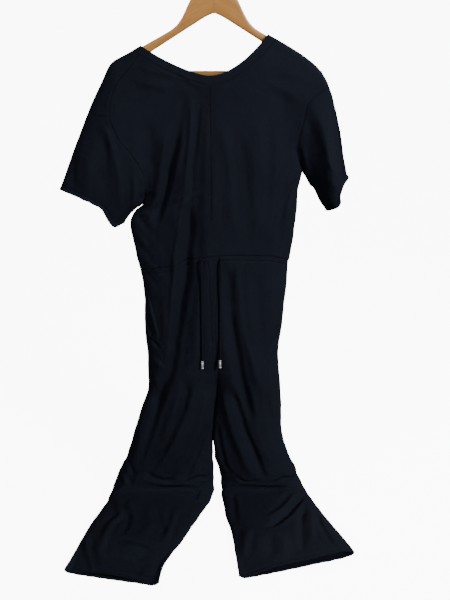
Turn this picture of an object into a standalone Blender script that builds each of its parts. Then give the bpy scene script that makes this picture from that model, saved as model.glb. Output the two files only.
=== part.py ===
# Cropped jumpsuit on a wooden hanger, its lower legs lying forward on the floor.
# The origin is where the rod carries the hook; +Z is up and -Y is the garment's front.
# "Left" is the -X side. Every size and table is in millimetres, and mm makes it metres.

import math

import bmesh
import bpy
import numpy as np

mm = 0.001

cloth = {"thickness": 1.8, "seamInset": 0.2, "sideGap": 0.15, "beadThickness": 3.6}
floorLevel = -1229.0

# Outline of the shoulders and the sleeves' upper folds, from the left cuff to the right one
shoulderLine = {
    "x": (-330, -285, -258, -224, -205, -90, 0, 90, 205, 231, 247, 263, 278),
    "z": (-474, -372, -311, -250, -225, -156, -106, -156, -225, -260, -308, -372, -449),
}
# Side seams of the body between the armpits and the waist
sideSeam = {
    "z": (-655, -622, -577, -548, -532, -519, -505, -486, -472, -438),
    "left": (-164, -172, -181, -184, -179.5, -171.5, -162, -151, -151, -151),
    "right": (161, 164, 169, 174, 175, 176, 176, 177, 178, 186),
}
# How far the front stands off the hanger's plane; the back stands off by backShare of it
bodyDepth = {"z": (-655, -605, -540, -470, -400, -320, -240), "depth": (43, 43, 45.5, 46, 44, 39, 35)}
backShare = 0.9
ridgeReach = 85.0  # below the shoulder line, over which the cloth rounds out to its full depth

armpit = {"left": (-152, -486), "right": (186, -438)}
armpitNotch = 1.0  # between the sleeve's corner and the bodice's at the armpit
underarmEnd = {"left": (-196, -547), "right": (238, -520)}
sleeveDepth = {"left": 0.8, "right": 2.2}  # the cuff's depth as a share of the body's there
# Armhole seams, x at each height, from the armpit up to the shoulder
armholeFront = {
    "left": {"z": (-486, -474, -461, -409, -365, -324), "x": (-152, -147, -146, -164, -197, -213)},
    "right": {"z": (-438, -416, -389, -339, -281, -270, -266), "x": (186, 177, 172, 180, 196, 209, 228)},
}
armholeBack = {
    "left": {"z": (-486, -440, -390, -345, -309), "x": (-152, -174, -193, -220, -257)},
    "right": {"z": (-438, -380, -330, -290, -260), "x": (186, 190, 198, 212, 231)},
}
# Cuff edges, from the upper fold (share 0) to the underarm (share 1)
cuffFront = {
    "left": {
        "share": (0, 0.2, 0.4, 0.58, 0.7, 0.85, 0.94, 1),
        "x": (-330, -298, -271, -246, -232, -221, -207, -196),
        "z": (-474, -483, -494, -509, -524, -548, -552, -546),
    },
    "right": {
        "share": (0, 0.15, 0.35, 0.55, 0.8, 1),
        "x": (278, 268, 263, 267, 255, 238),
        "z": (-449, -457, -474, -491, -507, -520),
    },
}
cuffBack = {
    "left": {"share": (0, 0.33, 0.66, 1), "x": (-330, -290, -245, -196), "z": (-474, -492, -518, -546)},
    "right": {"share": (0, 0.5, 1), "x": (278, 262, 238), "z": (-449, -487, -520)},
}
# Shoulder seams, which lie forward of the shoulder line, x and z from the sleeve to the neckband
shoulderSeam = {
    "left": {"x": (-213, -209, -195, -177, -158, -150), "z": (-324, -289, -260, -238, -220, -206)},
    "right": {"x": (118, 150, 192, 215, 228), "z": (-178, -201, -232, -250, -266)},
}
# The neck: the band's free edge and its seam, each side falling from the shoulder line as a power curve
neckCentre = -9
neckCurve = {"left": 1.45, "right": 1.8}
neckEdge = {"left": -147, "right": 107, "frontLow": -244, "backLow": -262}
neckSeam = {"left": -163, "right": 123, "frontLow": -262, "backLow": -280}

# Waist seam, the top edge of the casing
waistFront = {
    "x": (-164, -130, -84, -53, -25, 19, 86, 130, 161),
    "z": (-652, -643, -633, -620, -615, -610, -612, -618, -630),
}
waistBack = {"x": (-164, 0, 161), "z": (-652, -628, -630)}
casingHeight = 10.5

# Sections of the trousers by their distance along the cloth below the origin: the outer and inner
# edges of each leg, and how far the front and the back stand off the leg's middle
legColumns = ("at", "leftOut", "leftIn", "rightIn", "rightOut", "front", "back")
legRows = (
    (640, -166, -1.5, -1.5, 163, 43, 38.7),
    (677, -163, -1, -1, 161, 44, 40),
    (714, -160, -1, -1, 158, 45, 42),
    (791, -162, 0, 0, 151, 46, 43),
    (849, -158, 1, 1.5, 146, 46, 43),
    (910, -158, 2.5, 3.6, 151, 45, 42),
    (951, -163, 3, 5, 155, 44, 41),
    (992, -179, -4, -1, 158, 43, 40),
    (1056, -198, -9, -6, 161, 43, 40),
    (1121, -220, -7, -3, 181, 44, 40),
    (1165, -241, -5, 9, 202, 44, 38),
    (1210, -258, -5, 13, 220, 40, 24),
    (1237, -266, -13, 16, 236, 32, 11),
    (1302, -282, -40, 23, 259, 22, 9),
    (1361, -295, -63, 36, 283, 20, 9),
    (1416, -304, -86, 41, 303, 20, 9),
    (1468, -316, -106, 47, 318, 19, 9),
    (1530, -324, -113, 53, 332, 18, 9),
)
legs = dict(zip(legColumns, zip(*legRows)))
crotchAt = 951.0
hem = {"left": (1482, 1524), "right": (1426, 1501)}  # along the cloth, at the outer and the inner edge
bend = {"radius": 50.0, "lift": 9.0}  # a leg turning forward on the floor, and its middle's height there
# Edges of the centre strip between the trouser fronts
strip = {
    "at": (612, 618, 626, 634, 704, 800, 880, 938),
    "left": (-24, -20, -16, -14.5, -11, -8, -3.5, 1),
    "right": (9, 8, 7.5, 7.5, 7.5, 6.5, 5.5, 4.6),
}

# The largest folds as soft troughs (negative) and ridges: their route in x and distance below the
# origin along the cloth, their half-width and their height
folds = (
    {"name": "shoulder to left waist", "x": (-60, -86, -110, -123), "at": (299, 422, 502, 532),
     "wide": 15, "high": -9},
    {"name": "neck to left thigh", "x": (-28, -37, -43, -57, -77, -84, -107, -137, -162),
     "at": (299, 387, 511, 619, 755, 850, 909, 989, 1052), "wide": 17, "high": -11},
    {"name": "left hip crest", "x": (-50, -73, -81, -86, -96), "at": (387, 532, 619, 755, 826),
     "wide": 11, "high": 4},
    {"name": "right chest", "x": (40, 34, 30), "at": (380, 470, 560), "wide": 18, "high": -5},
    {"name": "right armhole", "x": (166, 159, 148), "at": (371, 428, 500), "wide": 12, "high": -5},
    {"name": "left underarm", "x": (-166, -140, -112), "at": (486, 492, 505), "wide": 9, "high": -6},
    {"name": "left flank", "x": (-172, -148, -120), "at": (512, 540, 578), "wide": 10, "high": -5},
    {"name": "right thigh", "x": (24, 34, 46, 60, 76, 96, 109),
     "at": (641, 709, 802, 899, 1000, 1078, 1132), "wide": 17, "high": -8},
    {"name": "left thigh", "x": (-62, -74, -98, -128, -156), "at": (909, 974, 1026, 1094, 1153),
     "wide": 14, "high": -7},
    {"name": "left inner calf", "x": (-16, -32, -61, -85), "at": (1031, 1078, 1121, 1164),
     "wide": 12, "high": -6},
    {"name": "right inner calf", "x": (12, 22, 43, 62), "at": (1000, 1052, 1105, 1142),
     "wide": 12, "high": -6},
    {"name": "right sleeve", "x": (222, 238, 255), "at": (290, 368, 469), "wide": 9, "high": -9},
    {"name": "left sleeve", "x": (-232, -240, -244), "at": (360, 420, 490), "wide": 16, "high": -6},
    {"name": "left break", "x": (-150, -117, -49, -30), "at": (1206, 1212, 1221, 1224),
     "wide": 11, "high": -8},
    {"name": "right break", "x": (60, 112, 150, 200), "at": (1208, 1208, 1217, 1217),
     "wide": 11, "high": -8},
    {"name": "left foot ridge", "x": (-243, -224, -208), "at": (1246, 1287, 1333), "wide": 12, "high": 6},
    {"name": "left foot side", "x": (-221, -250), "at": (1350, 1420), "wide": 12, "high": 5},
    {"name": "right foot crease", "x": (209, 136, 104), "at": (1262, 1351, 1369), "wide": 11, "high": -9},
    {"name": "right foot valley", "x": (204, 196, 189), "at": (1302, 1380, 1451), "wide": 12, "high": -7},
)

drawcord = {"diameter": 4.0, "spacing": 11.0}
# Routes of the two cords' middles, from the eyelet down to the tip
cordRoute = {
    "left": {
        "x": (-28.5, -28.5, -28.5, -28.5, -28.5, -28.6, -28.7, -28.8, -29),
        "y": (-46.7, -48.9, -50.3, -50.8, -50.7, -50.3, -50.1, -50.1, -50.1),
        "z": (-621.3, -623.6, -626.8, -631, -641, -655, -700, -780, -850),
    },
    "right": {
        "x": (12.6, 12.6, 12.5, 12.5, 12.4, 12.2, 11.6, 11, 10.5),
        "y": (-45.5, -47.7, -49.3, -50.2, -50.6, -50.6, -50.6, -50.6, -50.6),
        "z": (-616.5, -618.8, -622, -626.3, -636, -655, -700, -780, -848),
    },
}
cordBend = 5  # the route points that make the bend below the eyelet
cordTip = {"length": 22.6, "diameter": 5.6, "wall": 0.5}
eyelet = {"outer": 8.0, "inner": 4.8, "height": 1.0, "stand": {"left": -0.45, "right": 0.2},
          "left": (-28.5, -621.3), "right": (12.6, -616.5)}

hanger = {
    "thickness": 11.0, "corner": 5.0, "halfSpan": 213.0, "innerApex": -122.4, "innerSlope": 0.6,
    "apexRound": 6.0, "bossTop": -76.0, "bossReach": 52.0, "clothGap": 1.6, "endRound": 8.0,
}
bar = {"diameter": 12.0, "level": -241.0, "jointGap": 0.3, "sides": 16}
hook = {"wire": 4.0, "bow": 20.0, "stemFoot": -75.7, "bowStart": -48, "bowEnd": 212}


def smooth(at, places, values):
    """Reads values given at places as one smooth curve that doesn't overshoot its rows."""
    x, y = np.asarray(places, float), np.asarray(values, float)
    step = np.diff(x)
    slope = np.diff(y) / step
    tangent = np.concatenate(([slope[0]], np.zeros(len(x) - 2), [slope[-1]]))
    same = slope[:-1] * slope[1:] > 0
    total = np.where(same, slope[:-1] + slope[1:], 1.0)
    tangent[1:-1] = np.where(same, 2 * slope[:-1] * slope[1:] / total, 0.0)
    at = np.clip(np.asarray(at, float), x[0], x[-1])
    k = np.clip(np.searchsorted(x, at, side="right") - 1, 0, len(step) - 1)
    t = (at - x[k]) / step[k]
    ends = (1 + 2 * t) * (1 - t) ** 2 * y[k] + t * t * (3 - 2 * t) * y[k + 1]
    return ends + step[k] * (t * (1 - t) ** 2 * tangent[k] - t * t * (1 - t) * tangent[k + 1])


def ease(t):
    t = np.clip(t, 0.0, 1.0)
    return t * t * (3 - 2 * t)


def ridge(x):
    return smooth(x, shoulderLine["x"], shoulderLine["z"])


def foldHeight(x, at):
    """Sum of the folds at points x, at: a soft trough or ridge with low shoulders, fading at its ends."""
    total = np.zeros(np.broadcast(x, at).shape)
    for fold in folds:
        fx, fa = np.asarray(fold["x"], float), np.asarray(fold["at"], float)
        length = np.concatenate(([0.0], np.cumsum(np.hypot(np.diff(fx), np.diff(fa)))))
        best = np.full(total.shape, 1e9)
        along = np.zeros(total.shape)
        for k in range(len(fx) - 1):
            dx, da = fx[k + 1] - fx[k], fa[k + 1] - fa[k]
            t = np.clip(((x - fx[k]) * dx + (at - fa[k]) * da) / (dx * dx + da * da), 0, 1)
            away = np.hypot(x - fx[k] - t * dx, at - fa[k] - t * da)
            nearer = away < best
            best = np.where(nearer, away, best)
            along = np.where(nearer, length[k] + t * (length[k + 1] - length[k]), along)
        share = along / length[-1]
        u = best / fold["wide"]
        window = np.sin(math.pi * np.clip(0.04 + 0.92 * share, 0, 1)) ** 0.6
        total += fold["high"] * window * (np.exp(-u * u) - 0.3 * np.exp(-((u - 1.9) ** 2) * 1.6))
    return total


def sideDistance(x, z, hand):
    """How far a point is inside the side seam or, beyond the armpit, above the underarm seam."""
    sign = -1 if hand == "left" else 1
    (ax, az), (bx, bz) = armpit[hand], underarmEnd[hand]
    fromSeam = sign * (smooth(z, sideSeam["z"], sideSeam[hand]) - x)
    length = math.hypot(bx - ax, bz - az)
    fromUnderarm = ((x - ax) * sign * (az - bz) + (z - az) * sign * (bx - ax)) / length
    blend = np.minimum(0.3 * np.hypot(x - ax, z - az), 40) * ease((z - az) / 20) + 1e-9
    lift = np.maximum(blend - np.abs(fromSeam - fromUnderarm), 0) ** 2 / (4 * blend)
    return np.maximum(fromSeam, fromUnderarm) + lift


def upperSquare(x, z):
    """Square of the front's distance from the hanger's plane, on the bodice and the sleeves."""
    slope = (ridge(x + 1) - ridge(x - 1)) / 2
    below = (ridge(x) - z) / np.sqrt(1 + slope * slope)
    over = 1 - (1 - np.minimum(below / ridgeReach, 1)) ** 2
    half = (smooth(z, sideSeam["z"], sideSeam["right"]) - smooth(z, sideSeam["z"], sideSeam["left"])) / 2
    inside = np.minimum(sideDistance(x, z, "left"), sideDistance(x, z, "right")) / half
    across = 1 - (1 - np.minimum(inside, 1)) ** 2
    depth = smooth(z, bodyDepth["z"], bodyDepth["depth"])
    depth = depth * (1 + (sleeveDepth["left"] - 1) * ease((-x - 200) / 110))
    depth = depth * (1 + (sleeveDepth["right"] - 1) * ease((x - 195) / 60))
    return depth * depth * over * across


def upperPoint(x, z, back=False, gap=0.0):
    """Outer points and normals of the bodice's and sleeves' common surface."""
    share = backShare if back else 1.0
    square = np.maximum(upperSquare(x, z), 0)
    y = np.sqrt(square) * share
    step = 0.2
    qx = (upperSquare(x + step, z) - upperSquare(x - step, z)) / (2 * step) * share * share
    qz = (upperSquare(x, z + step) - upperSquare(x, z - step)) / (2 * step) * share * share
    side = 1 if back else -1
    normal = np.stack([-qx, 2 * side * y, -qz], -1)
    normal /= np.linalg.norm(normal, axis=-1, keepdims=True) + 1e-12
    point = np.stack([x, side * (y + gap), z], -1)
    if not back:
        fade = np.clip(y / 22, 0, 1)
        point[..., 1] -= foldHeight(x, -z) * fade
    return point, normal


def legSpread(at):
    """Angle that a leg's half section spans: a quarter turn at the waist, half a turn at the crotch."""
    t = np.clip((at - 650) / (crotchAt - 650), 0, 1)
    return math.pi / 2 * (1 + t ** 3)


def legSurface(hand, back, s, at, folded=1):
    """Outer points of a trouser panel; s runs from the outer edge to the inner one."""
    out, inner = smooth(at, legs["at"], legs[hand + "Out"]), smooth(at, legs["at"], legs[hand + "In"])
    angle = legSpread(at)
    x = out + (inner - out) * (1 - np.cos(angle * s)) / (1 - np.cos(angle))
    round_ = np.sin(angle * s)
    turnStart = -floorLevel - bend["lift"] - bend["radius"]
    turn = np.clip((at - turnStart) / bend["radius"], 0, math.pi / 2)
    ahead = np.maximum(at - turnStart - bend["radius"] * math.pi / 2, 0)
    middleY = -bend["radius"] * (1 - np.cos(turn)) - ahead
    middleZ = -np.minimum(at, turnStart) - bend["radius"] * np.sin(turn)
    if back:
        flat = 1 + 0.8 * turn / (math.pi / 2)
        off = -smooth(at, legs["at"], legs["back"]) * np.clip(flat * round_, -1, 1) - cloth["sideGap"]
    else:
        off = smooth(at, legs["at"], legs["front"]) * round_ + cloth["sideGap"]
        fade = np.clip(round_ / 0.45, 0, 1)
        off = off + foldHeight(x, at) * fade * folded
    y = middleY - off * np.cos(turn)
    z = np.maximum(middleZ + off * np.sin(turn), floorLevel)
    return np.stack([x, y, z], -1)


def legPoint(hand, back, s, at):
    """Outer points of a trouser panel with its folds, and the normals of its plain form."""
    stepS, stepAt = 0.004, 1.0
    alongS = legSurface(hand, back, s + stepS, at, 0) - legSurface(hand, back, s - stepS, at, 0)
    alongAt = legSurface(hand, back, s, at + stepAt, 0) - legSurface(hand, back, s, at - stepAt, 0)
    normal = np.cross(alongS, alongAt)
    if (hand == "left") != back:
        normal = -normal
    normal /= np.linalg.norm(normal, axis=-1, keepdims=True) + 1e-12
    return legSurface(hand, back, s, at), normal


def inset(grid, edges, amount=cloth["seamInset"]):
    """Moves the named edges of a grid of points towards its inside, for the gap at a seam."""
    pairs = {"first": ((0, slice(None)), (1, slice(None))), "last": ((-1, slice(None)), (-2, slice(None))),
             "left": ((slice(None), 0), (slice(None), 1)), "right": ((slice(None), -1), (slice(None), -2))}
    for name in edges:
        edge, beside = pairs[name]
        way = grid[beside] - grid[edge]
        grid[edge] = grid[edge] + way * (amount / (np.linalg.norm(way, axis=-1, keepdims=True) + 1e-9))
    return grid


def material(name, colour, roughness, metallic=0.0):
    made = bpy.data.materials.new(name)
    made.use_nodes = True
    shader = made.node_tree.nodes["Principled BSDF"]
    shader.inputs["Base Color"].default_value = (*colour, 1.0)
    shader.inputs["Roughness"].default_value = roughness
    shader.inputs["Metallic"].default_value = metallic
    return made


def makeObject(name, vertices, faces, finish, sharpAngle=50):
    mesh = bpy.data.meshes.new(name)
    mesh.from_pydata([tuple(v * mm) for v in vertices], [], faces)
    mesh.update()
    mesh.shade_smooth()
    mesh.set_sharp_from_angle(angle=math.radians(sharpAngle))
    mesh.materials.append(finish)
    made = bpy.data.objects.new(name, mesh)
    bpy.context.scene.collection.objects.link(made)
    return made


def makeWall(name, patches, finish):
    """Closed wall from grids of outer points, normals and thicknesses, joined where they share points."""
    index, outer, normals, thickness, faces = {}, [], [], [], []
    for points, normal, thick, flip in patches:
        rows, columns = points.shape[:2]
        ids = np.zeros((rows, columns), int)
        for r in range(rows):
            for c in range(columns):
                key = tuple(np.round(points[r, c], 2))
                if key not in index:
                    index[key] = len(outer)
                    outer.append(points[r, c])
                    normals.append(normal[r, c])
                    thickness.append(thick[r, c])
                ids[r, c] = index[key]
        for r in range(rows - 1):
            for c in range(columns - 1):
                face = [ids[r, c], ids[r, c + 1], ids[r + 1, c + 1], ids[r + 1, c]]
                face = list(dict.fromkeys(face[::-1] if flip else face))
                if len(face) > 2:
                    faces.append(face)
    outer, normals, thickness = np.array(outer), np.array(normals), np.array(thickness)
    count = len(outer)
    extra = np.maximum(thickness - cloth["thickness"], 0)[:, None] / 2
    vertices = np.concatenate([outer + normals * extra, outer + normals * (extra - thickness[:, None])])
    directed = {(face[k], face[(k + 1) % len(face)]) for face in faces for k in range(len(face))}
    rim = [[b, a, a + count, b + count] for a, b in directed if (b, a) not in directed]
    inner = [[v + count for v in face[::-1]] for face in faces]
    return makeObject(name, vertices, faces + inner + sorted(rim), finish)


def plainThickness(points):
    return np.full(points.shape[:2], cloth["thickness"])


# Columns across the body are evenly spaced as angles of its oval section, with the neck's corners
# and the centre strip's corners on columns of their own
def angleOf(share):
    return math.acos(1 - 2 * share)


def columns(shares, counts, crowding):
    """Angles of the columns; crowding above 1 draws a span's columns to its start, below -1 to its end."""
    angles = []
    for a, b, n, crowd in zip(shares, shares[1:], counts, crowding):
        t = np.arange(n) / n
        t = t ** crowd if crowd > 0 else 1 - (1 - t) ** -crowd
        angles.append(angleOf(a) + (angleOf(b) - angleOf(a)) * t)
    return np.concatenate(angles + [[angleOf(shares[-1])]])


def shareBetween(x, low, high):
    return (x - low) / (high - low)


waistLeft, waistRight = waistFront["x"][0], waistFront["x"][-1]
frontTop = (shoulderSeam["left"]["x"][0], shoulderSeam["right"]["x"][-1])
backTop = (armholeBack["left"]["x"][-1], armholeBack["right"]["x"][-1])
armEnd = 206  # where the cloth turns down over the hanger's ends
seamBend = {"left": -190, "right": 205}  # the shoulder seams' columns that stand at the hanger's ends
shoulderColumns = (5, 6)
frontShares = [shareBetween(x, *frontTop) for x in
               (frontTop[0], seamBend["left"], shoulderSeam["left"]["x"][-1])]
frontShares += [shareBetween(strip[hand][0], waistLeft, waistRight) for hand in ("left", "right")]
frontShares += [shareBetween(x, *frontTop) for x in
                (shoulderSeam["right"]["x"][0], seamBend["right"], frontTop[1])]
frontAngles = columns(frontShares, (3, 2, 5, 3, 3, 3, 3), (1, 1, 1, 1, 1, 1, 1))
backShares = [shareBetween(x, *backTop) for x in (backTop[0], -armEnd, neckSeam["left"])]
backShares += [0.5] + [shareBetween(x, *backTop) for x in (neckSeam["right"], armEnd, backTop[1])]
backAngles = columns(backShares, (3, 2, 7, 7, 3, 3), (1, 1, 1.8, -1.8, 1, 1))
wrapRows = (np.arange(5) / 4) ** 2


def neckLine(x, line, low):
    """Height of a neck curve at x, level with the shoulder line at its two ends."""
    sides = []
    for hand in ("left", "right"):
        corner = line[hand]
        share = np.clip((x - neckCentre) / (corner - neckCentre), 0, 1)
        sides.append(low + (ridge(corner) - low) * share ** neckCurve[hand])
    return np.where(x < neckCentre, sides[0], sides[1])


def frontTopLine(x):
    left, right = shoulderSeam["left"], shoulderSeam["right"]
    neck = neckLine(x, neckSeam, neckSeam["frontLow"])
    line = np.where(x < left["x"][-1], smooth(x, left["x"], left["z"]), neck)
    return np.where(x > right["x"][0], smooth(x, right["x"], right["z"]), line)


def backTopLine(x):
    inNeck = (x > neckSeam["left"]) & (x < neckSeam["right"])
    return np.where(inNeck, neckLine(x, neckSeam, neckSeam["backLow"]), ridge(x))


def sideX(z, hand, armhole):
    low = smooth(z, sideSeam["z"], sideSeam[hand])
    high = smooth(z, armhole[hand]["z"], armhole[hand]["x"])
    return np.where(z < armpit[hand][1], low, high)


def panelGrid(angles, rows, top, topLine, waist, armhole):
    """x and z of a bodice panel's grid; rows run from 0 (waist) by 1 (armpits) to 2 (top)."""
    share = (1 - np.cos(angles)) / 2
    topX = top[0] + (top[1] - top[0]) * share
    topZ = topLine(topX)
    waistZ = smooth(waistLeft + (waistRight - waistLeft) * share, waist["x"], waist["z"])
    armpitZ = armpit["left"][1] + (armpit["right"][1] - armpit["left"][1]) * share
    lower, upper = np.clip(rows, 0, 1)[:, None], np.clip(rows - 1, 0, 1)[:, None]
    z = waistZ + (armpitZ - waistZ) * lower + (topZ - armpitZ) * upper
    left, right = sideX(z[:, 0], "left", armhole), sideX(z[:, -1], "right", armhole)
    left[-1], right[-1] = top
    x = left[:, None] + (right - left)[:, None] * share
    return x, z


frontRows = np.concatenate([np.arange(6) / 6, 1 + np.arange(8) / 7])
# The back's rows crowd towards the shoulder line, where the cloth turns over
backRows = np.concatenate([np.arange(6) / 6, 2 - (1 - np.arange(10) / 9) ** 2])


def sideGap(z):
    """Half the gap between front and back along the side seams, closing above the armpits."""
    return cloth["sideGap"] * ease((-440 - z) / 60)


def wrapGrid(hand):
    """x and z of the back's strip that comes forward over a shoulder to the shoulder seam."""
    count = shoulderColumns[0] if hand == "left" else shoulderColumns[1]
    pick = slice(0, count + 1) if hand == "left" else slice(-count - 1, None)
    backAcross = (1 - np.cos(backAngles[pick])) / 2
    frontAcross = (1 - np.cos(frontAngles[pick])) / 2
    backX = backTop[0] + (backTop[1] - backTop[0]) * backAcross
    frontX = frontTop[0] + (frontTop[1] - frontTop[0]) * frontAcross
    drop = ridge(frontX) - frontTopLine(frontX)
    # At the sleeve the seam runs nearly level, so there x lags behind the drop
    fromSleeve = backAcross if hand == "left" else 1 - backAcross
    lag = 1 + 0.4 * (1 - fromSleeve / fromSleeve.max()) ** 4
    rows = wrapRows[:, None]
    x = backX + (frontX - backX) * rows ** lag
    z = ridge(x) - drop * rows
    return x, z


def armpitNormals(normals, z):
    """At the armpits, where the surface has a corner, the bodice takes its side seam's normal."""
    for side, hand in ((0, "left"), (-1, "right")):
        row = np.argmin(np.abs(z[:, side] - armpit[hand][1]))
        normals[row, side] = normals[row - 1, side]


def backPiece(finish):
    x, z = panelGrid(backAngles, backRows, backTop, backTopLine, waistBack, armholeBack)
    points, normals = upperPoint(x, z, back=True, gap=sideGap(z))
    ridgeRow = points[-1].copy()
    points = inset(points, ["first"])
    rowsAbove = [z[:, 0] > armpit["left"][1] - 1, z[:, -1] > armpit["right"][1] - 1]
    neck = slice(shoulderColumns[0], len(backAngles) - shoulderColumns[1])
    trimmed = inset(points.copy(), ["left", "right", "last"])
    points[rowsAbove[0], 0] = trimmed[rowsAbove[0], 0]
    points[rowsAbove[1], -1] = trimmed[rowsAbove[1], -1]
    points[-1, neck] = trimmed[-1, neck]
    armpitNormals(normals, z)
    patches = [(points, normals, plainThickness(points), True)]
    joints = {"left": slice(0, shoulderColumns[0] + 1), "right": slice(-shoulderColumns[1] - 1, None)}
    for hand, joint in joints.items():
        x, z = wrapGrid(hand)
        front, frontNormals = upperPoint(x, z)
        front = inset(front, ["last", "left", "right"])
        front[0] = points[-1, joint]
        frontNormals[0] = normals[-1, joint]
        patches.append((front, frontNormals, plainThickness(front), True))
    return makeWall("back_bodice", patches, finish)


def frontPiece(finish):
    x, z = panelGrid(frontAngles, frontRows, frontTop, frontTopLine, waistFront, armholeFront)
    points, normals = upperPoint(x, z, gap=sideGap(z))
    trimmed = inset(points.copy(), ["first", "last", "left", "right"])
    below = [z[:, 0] < armpit["left"][1] - 1, z[:, -1] < armpit["right"][1] - 1]
    keepLeft, keepRight = points[below[0], 0].copy(), points[below[1], -1].copy()
    trimmed[below[0], 0] = keepLeft
    trimmed[below[1], -1] = keepRight
    armpitNormals(normals, z)
    return makeWall("front_bodice", [(trimmed, normals, plainThickness(trimmed), False)], finish)


def armholeRing(hand):
    """x and z round a sleeve's armhole: front from the shoulder line to the armpit, then the back."""
    end = 0 if hand == "left" else -1
    wx, wz = wrapGrid(hand)
    fx, fz = panelGrid(frontAngles, frontRows, frontTop, frontTopLine, waistFront, armholeFront)
    bx, bz = panelGrid(backAngles, backRows, backTop, backTopLine, waistBack, armholeBack)
    level = armpit[hand][1] - 1
    f = [(x, z) for x, z in zip(fx[:, end], fz[:, end]) if z > level][::-1]
    b = [(x, z) for x, z in zip(bx[:, end], bz[:, end]) if z > level][::-1]
    front = list(zip(wx[:, end], wz[:, end])) + f[1:]
    return np.array(front), np.array(b)


def coons(start, end, top, bottom, along):
    """Fills a patch between a start and an end column that are joined by a top and a bottom curve."""
    a = np.concatenate([[0.0], np.cumsum(np.linalg.norm(np.diff(start, axis=0), axis=1))])
    a = (a / a[-1])[:, None, None]
    l = along[None, :, None]
    straight = (1 - l) * start[:, None] + l * end[:, None]
    topError = top[None] - ((1 - l) * start[0] + l * end[0])
    bottomError = bottom[None] - ((1 - l) * start[-1] + l * end[-1])
    return straight + (1 - a) * topError + a * bottomError


beadRows = np.array([7.0, 3.0, 0.0])  # the last rows before a rolled raw edge


def sleevePiece(hand, finish):
    front, back = armholeRing(hand)
    rows = np.array([0, 0.2, 0.42, 0.64, 0.84])
    length = math.hypot(cuffFront[hand]["x"][0] - front[0][0], cuffFront[hand]["z"][0] - front[0][1])
    edge = 1 - beadRows / length
    along = np.concatenate([rows, edge])
    bead = np.array([cloth["thickness"]] * (len(rows) + 1) + [cloth["beadThickness"]] * 2)
    upperX = front[0][0] + (cuffFront[hand]["x"][0] - front[0][0]) * along
    top = np.stack([upperX, ridge(upperX)], -1)
    start, stop = np.array(armpit[hand], float), np.array(underarmEnd[hand], float)
    bottom = start + (stop - start) * along[:, None]
    patches = []
    for ring, cuff, isBack in ((front, cuffFront[hand], False), (back, cuffBack[hand], True)):
        share = np.concatenate([[0.0], np.cumsum(np.linalg.norm(np.diff(ring, axis=0), axis=1))])
        share /= share[-1]
        end = np.stack([smooth(share, cuff["share"], cuff[axis]) for axis in ("x", "z")], -1)
        flat = coons(ring, end, top, bottom, along)
        x, z = flat[..., 0], flat[..., 1]
        points, normals = upperPoint(x, z, back=isBack)
        points[0, :, 1] = points[-1, :, 1] = 0
        normals[-1, 0] = normals[-1, 1]
        points = inset(points, ["left"], 0.3)
        beside = points[-1, 1] - points[-1, 0]
        points[-1, 0] += beside * (armpitNotch / np.linalg.norm(beside))
        thick = np.broadcast_to(bead, points.shape[:2])
        patches.append((points, normals, thick, isBack == (hand == "left")))
    patches[1][0][0], patches[1][0][-1] = patches[0][0][0], patches[0][0][-1]
    return makeWall("sleeve_" + hand, patches, finish)


def neckbandPiece(finish):
    """The band between its free edge and its seam, round the front and the back of the neck."""
    fx = frontTop[0] + (frontTop[1] - frontTop[0]) * (1 - np.cos(frontAngles)) / 2
    bx = backTop[0] + (backTop[1] - backTop[0]) * (1 - np.cos(backAngles)) / 2
    leftWrap, rightWrap = wrapGrid("left")[0][:, -1], wrapGrid("right")[0][:, 0]
    a, b = shoulderColumns
    frontX = np.concatenate([leftWrap[:-1], fx[a:-b], rightWrap[::-1][1:]])
    backX = bx[a:len(bx) - b]
    patches = []
    for x, low, isBack in ((frontX, "frontLow", False), (backX, "backLow", True)):
        seamX = np.array(x)
        share = (seamX - neckSeam["left"]) / (neckSeam["right"] - neckSeam["left"])
        edgeX = neckEdge["left"] + (neckEdge["right"] - neckEdge["left"]) * share
        seamZ = np.minimum(neckLine(seamX, neckSeam, neckSeam[low]), ridge(seamX))
        edgeZ = np.minimum(neckLine(edgeX, neckEdge, neckEdge[low]), ridge(edgeX))
        rows = np.array([0, 0.5, 1])[:, None]
        x2 = seamX + (edgeX - seamX) * rows
        z2 = seamZ + (edgeZ - seamZ) * rows
        points, normals = upperPoint(x2, z2, back=isBack)
        points[:, 0, 1] = points[:, -1, 1] = 0
        points[:, 0, 2], points[:, -1, 2] = ridge(x2[:, 0]), ridge(x2[:, -1])
        patches.append((points, normals, plainThickness(points), isBack))
    for end in (0, -1):
        patches[1][0][:, end] = patches[0][0][:, end]
        patches[1][1][:, end] = patches[0][1][:, end]
    patches = [(inset(p, ["first"], 0.3), n, t, f) for p, n, t, f in patches]
    for end in (0, -1):
        patches[1][0][0, end] = patches[0][0][0, end]
    return makeWall("neckband", patches, finish)


def waistLine(x, back, drop=0.0):
    line = waistBack if back else waistFront
    return smooth(x, line["x"], line["z"]) - drop


def bodyColumns(back):
    """x of the body's columns at the waist."""
    angles = backAngles if back else frontAngles
    return waistLeft + (waistRight - waistLeft) * (1 - np.cos(angles)) / 2


stripColumns = (10, 13)  # the front columns at the strip's two corners


def edgeShare(hand, at, x):
    """The s of a leg's section at which it stands at x."""
    out, inner = smooth(at, legs["at"], legs[hand + "Out"]), smooth(at, legs["at"], legs[hand + "In"])
    angle = legSpread(at)
    cosine = 1 - (x - out) / (inner - out) * (1 - np.cos(angle))
    return np.arccos(np.clip(cosine, -1, 1)) / angle


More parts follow.
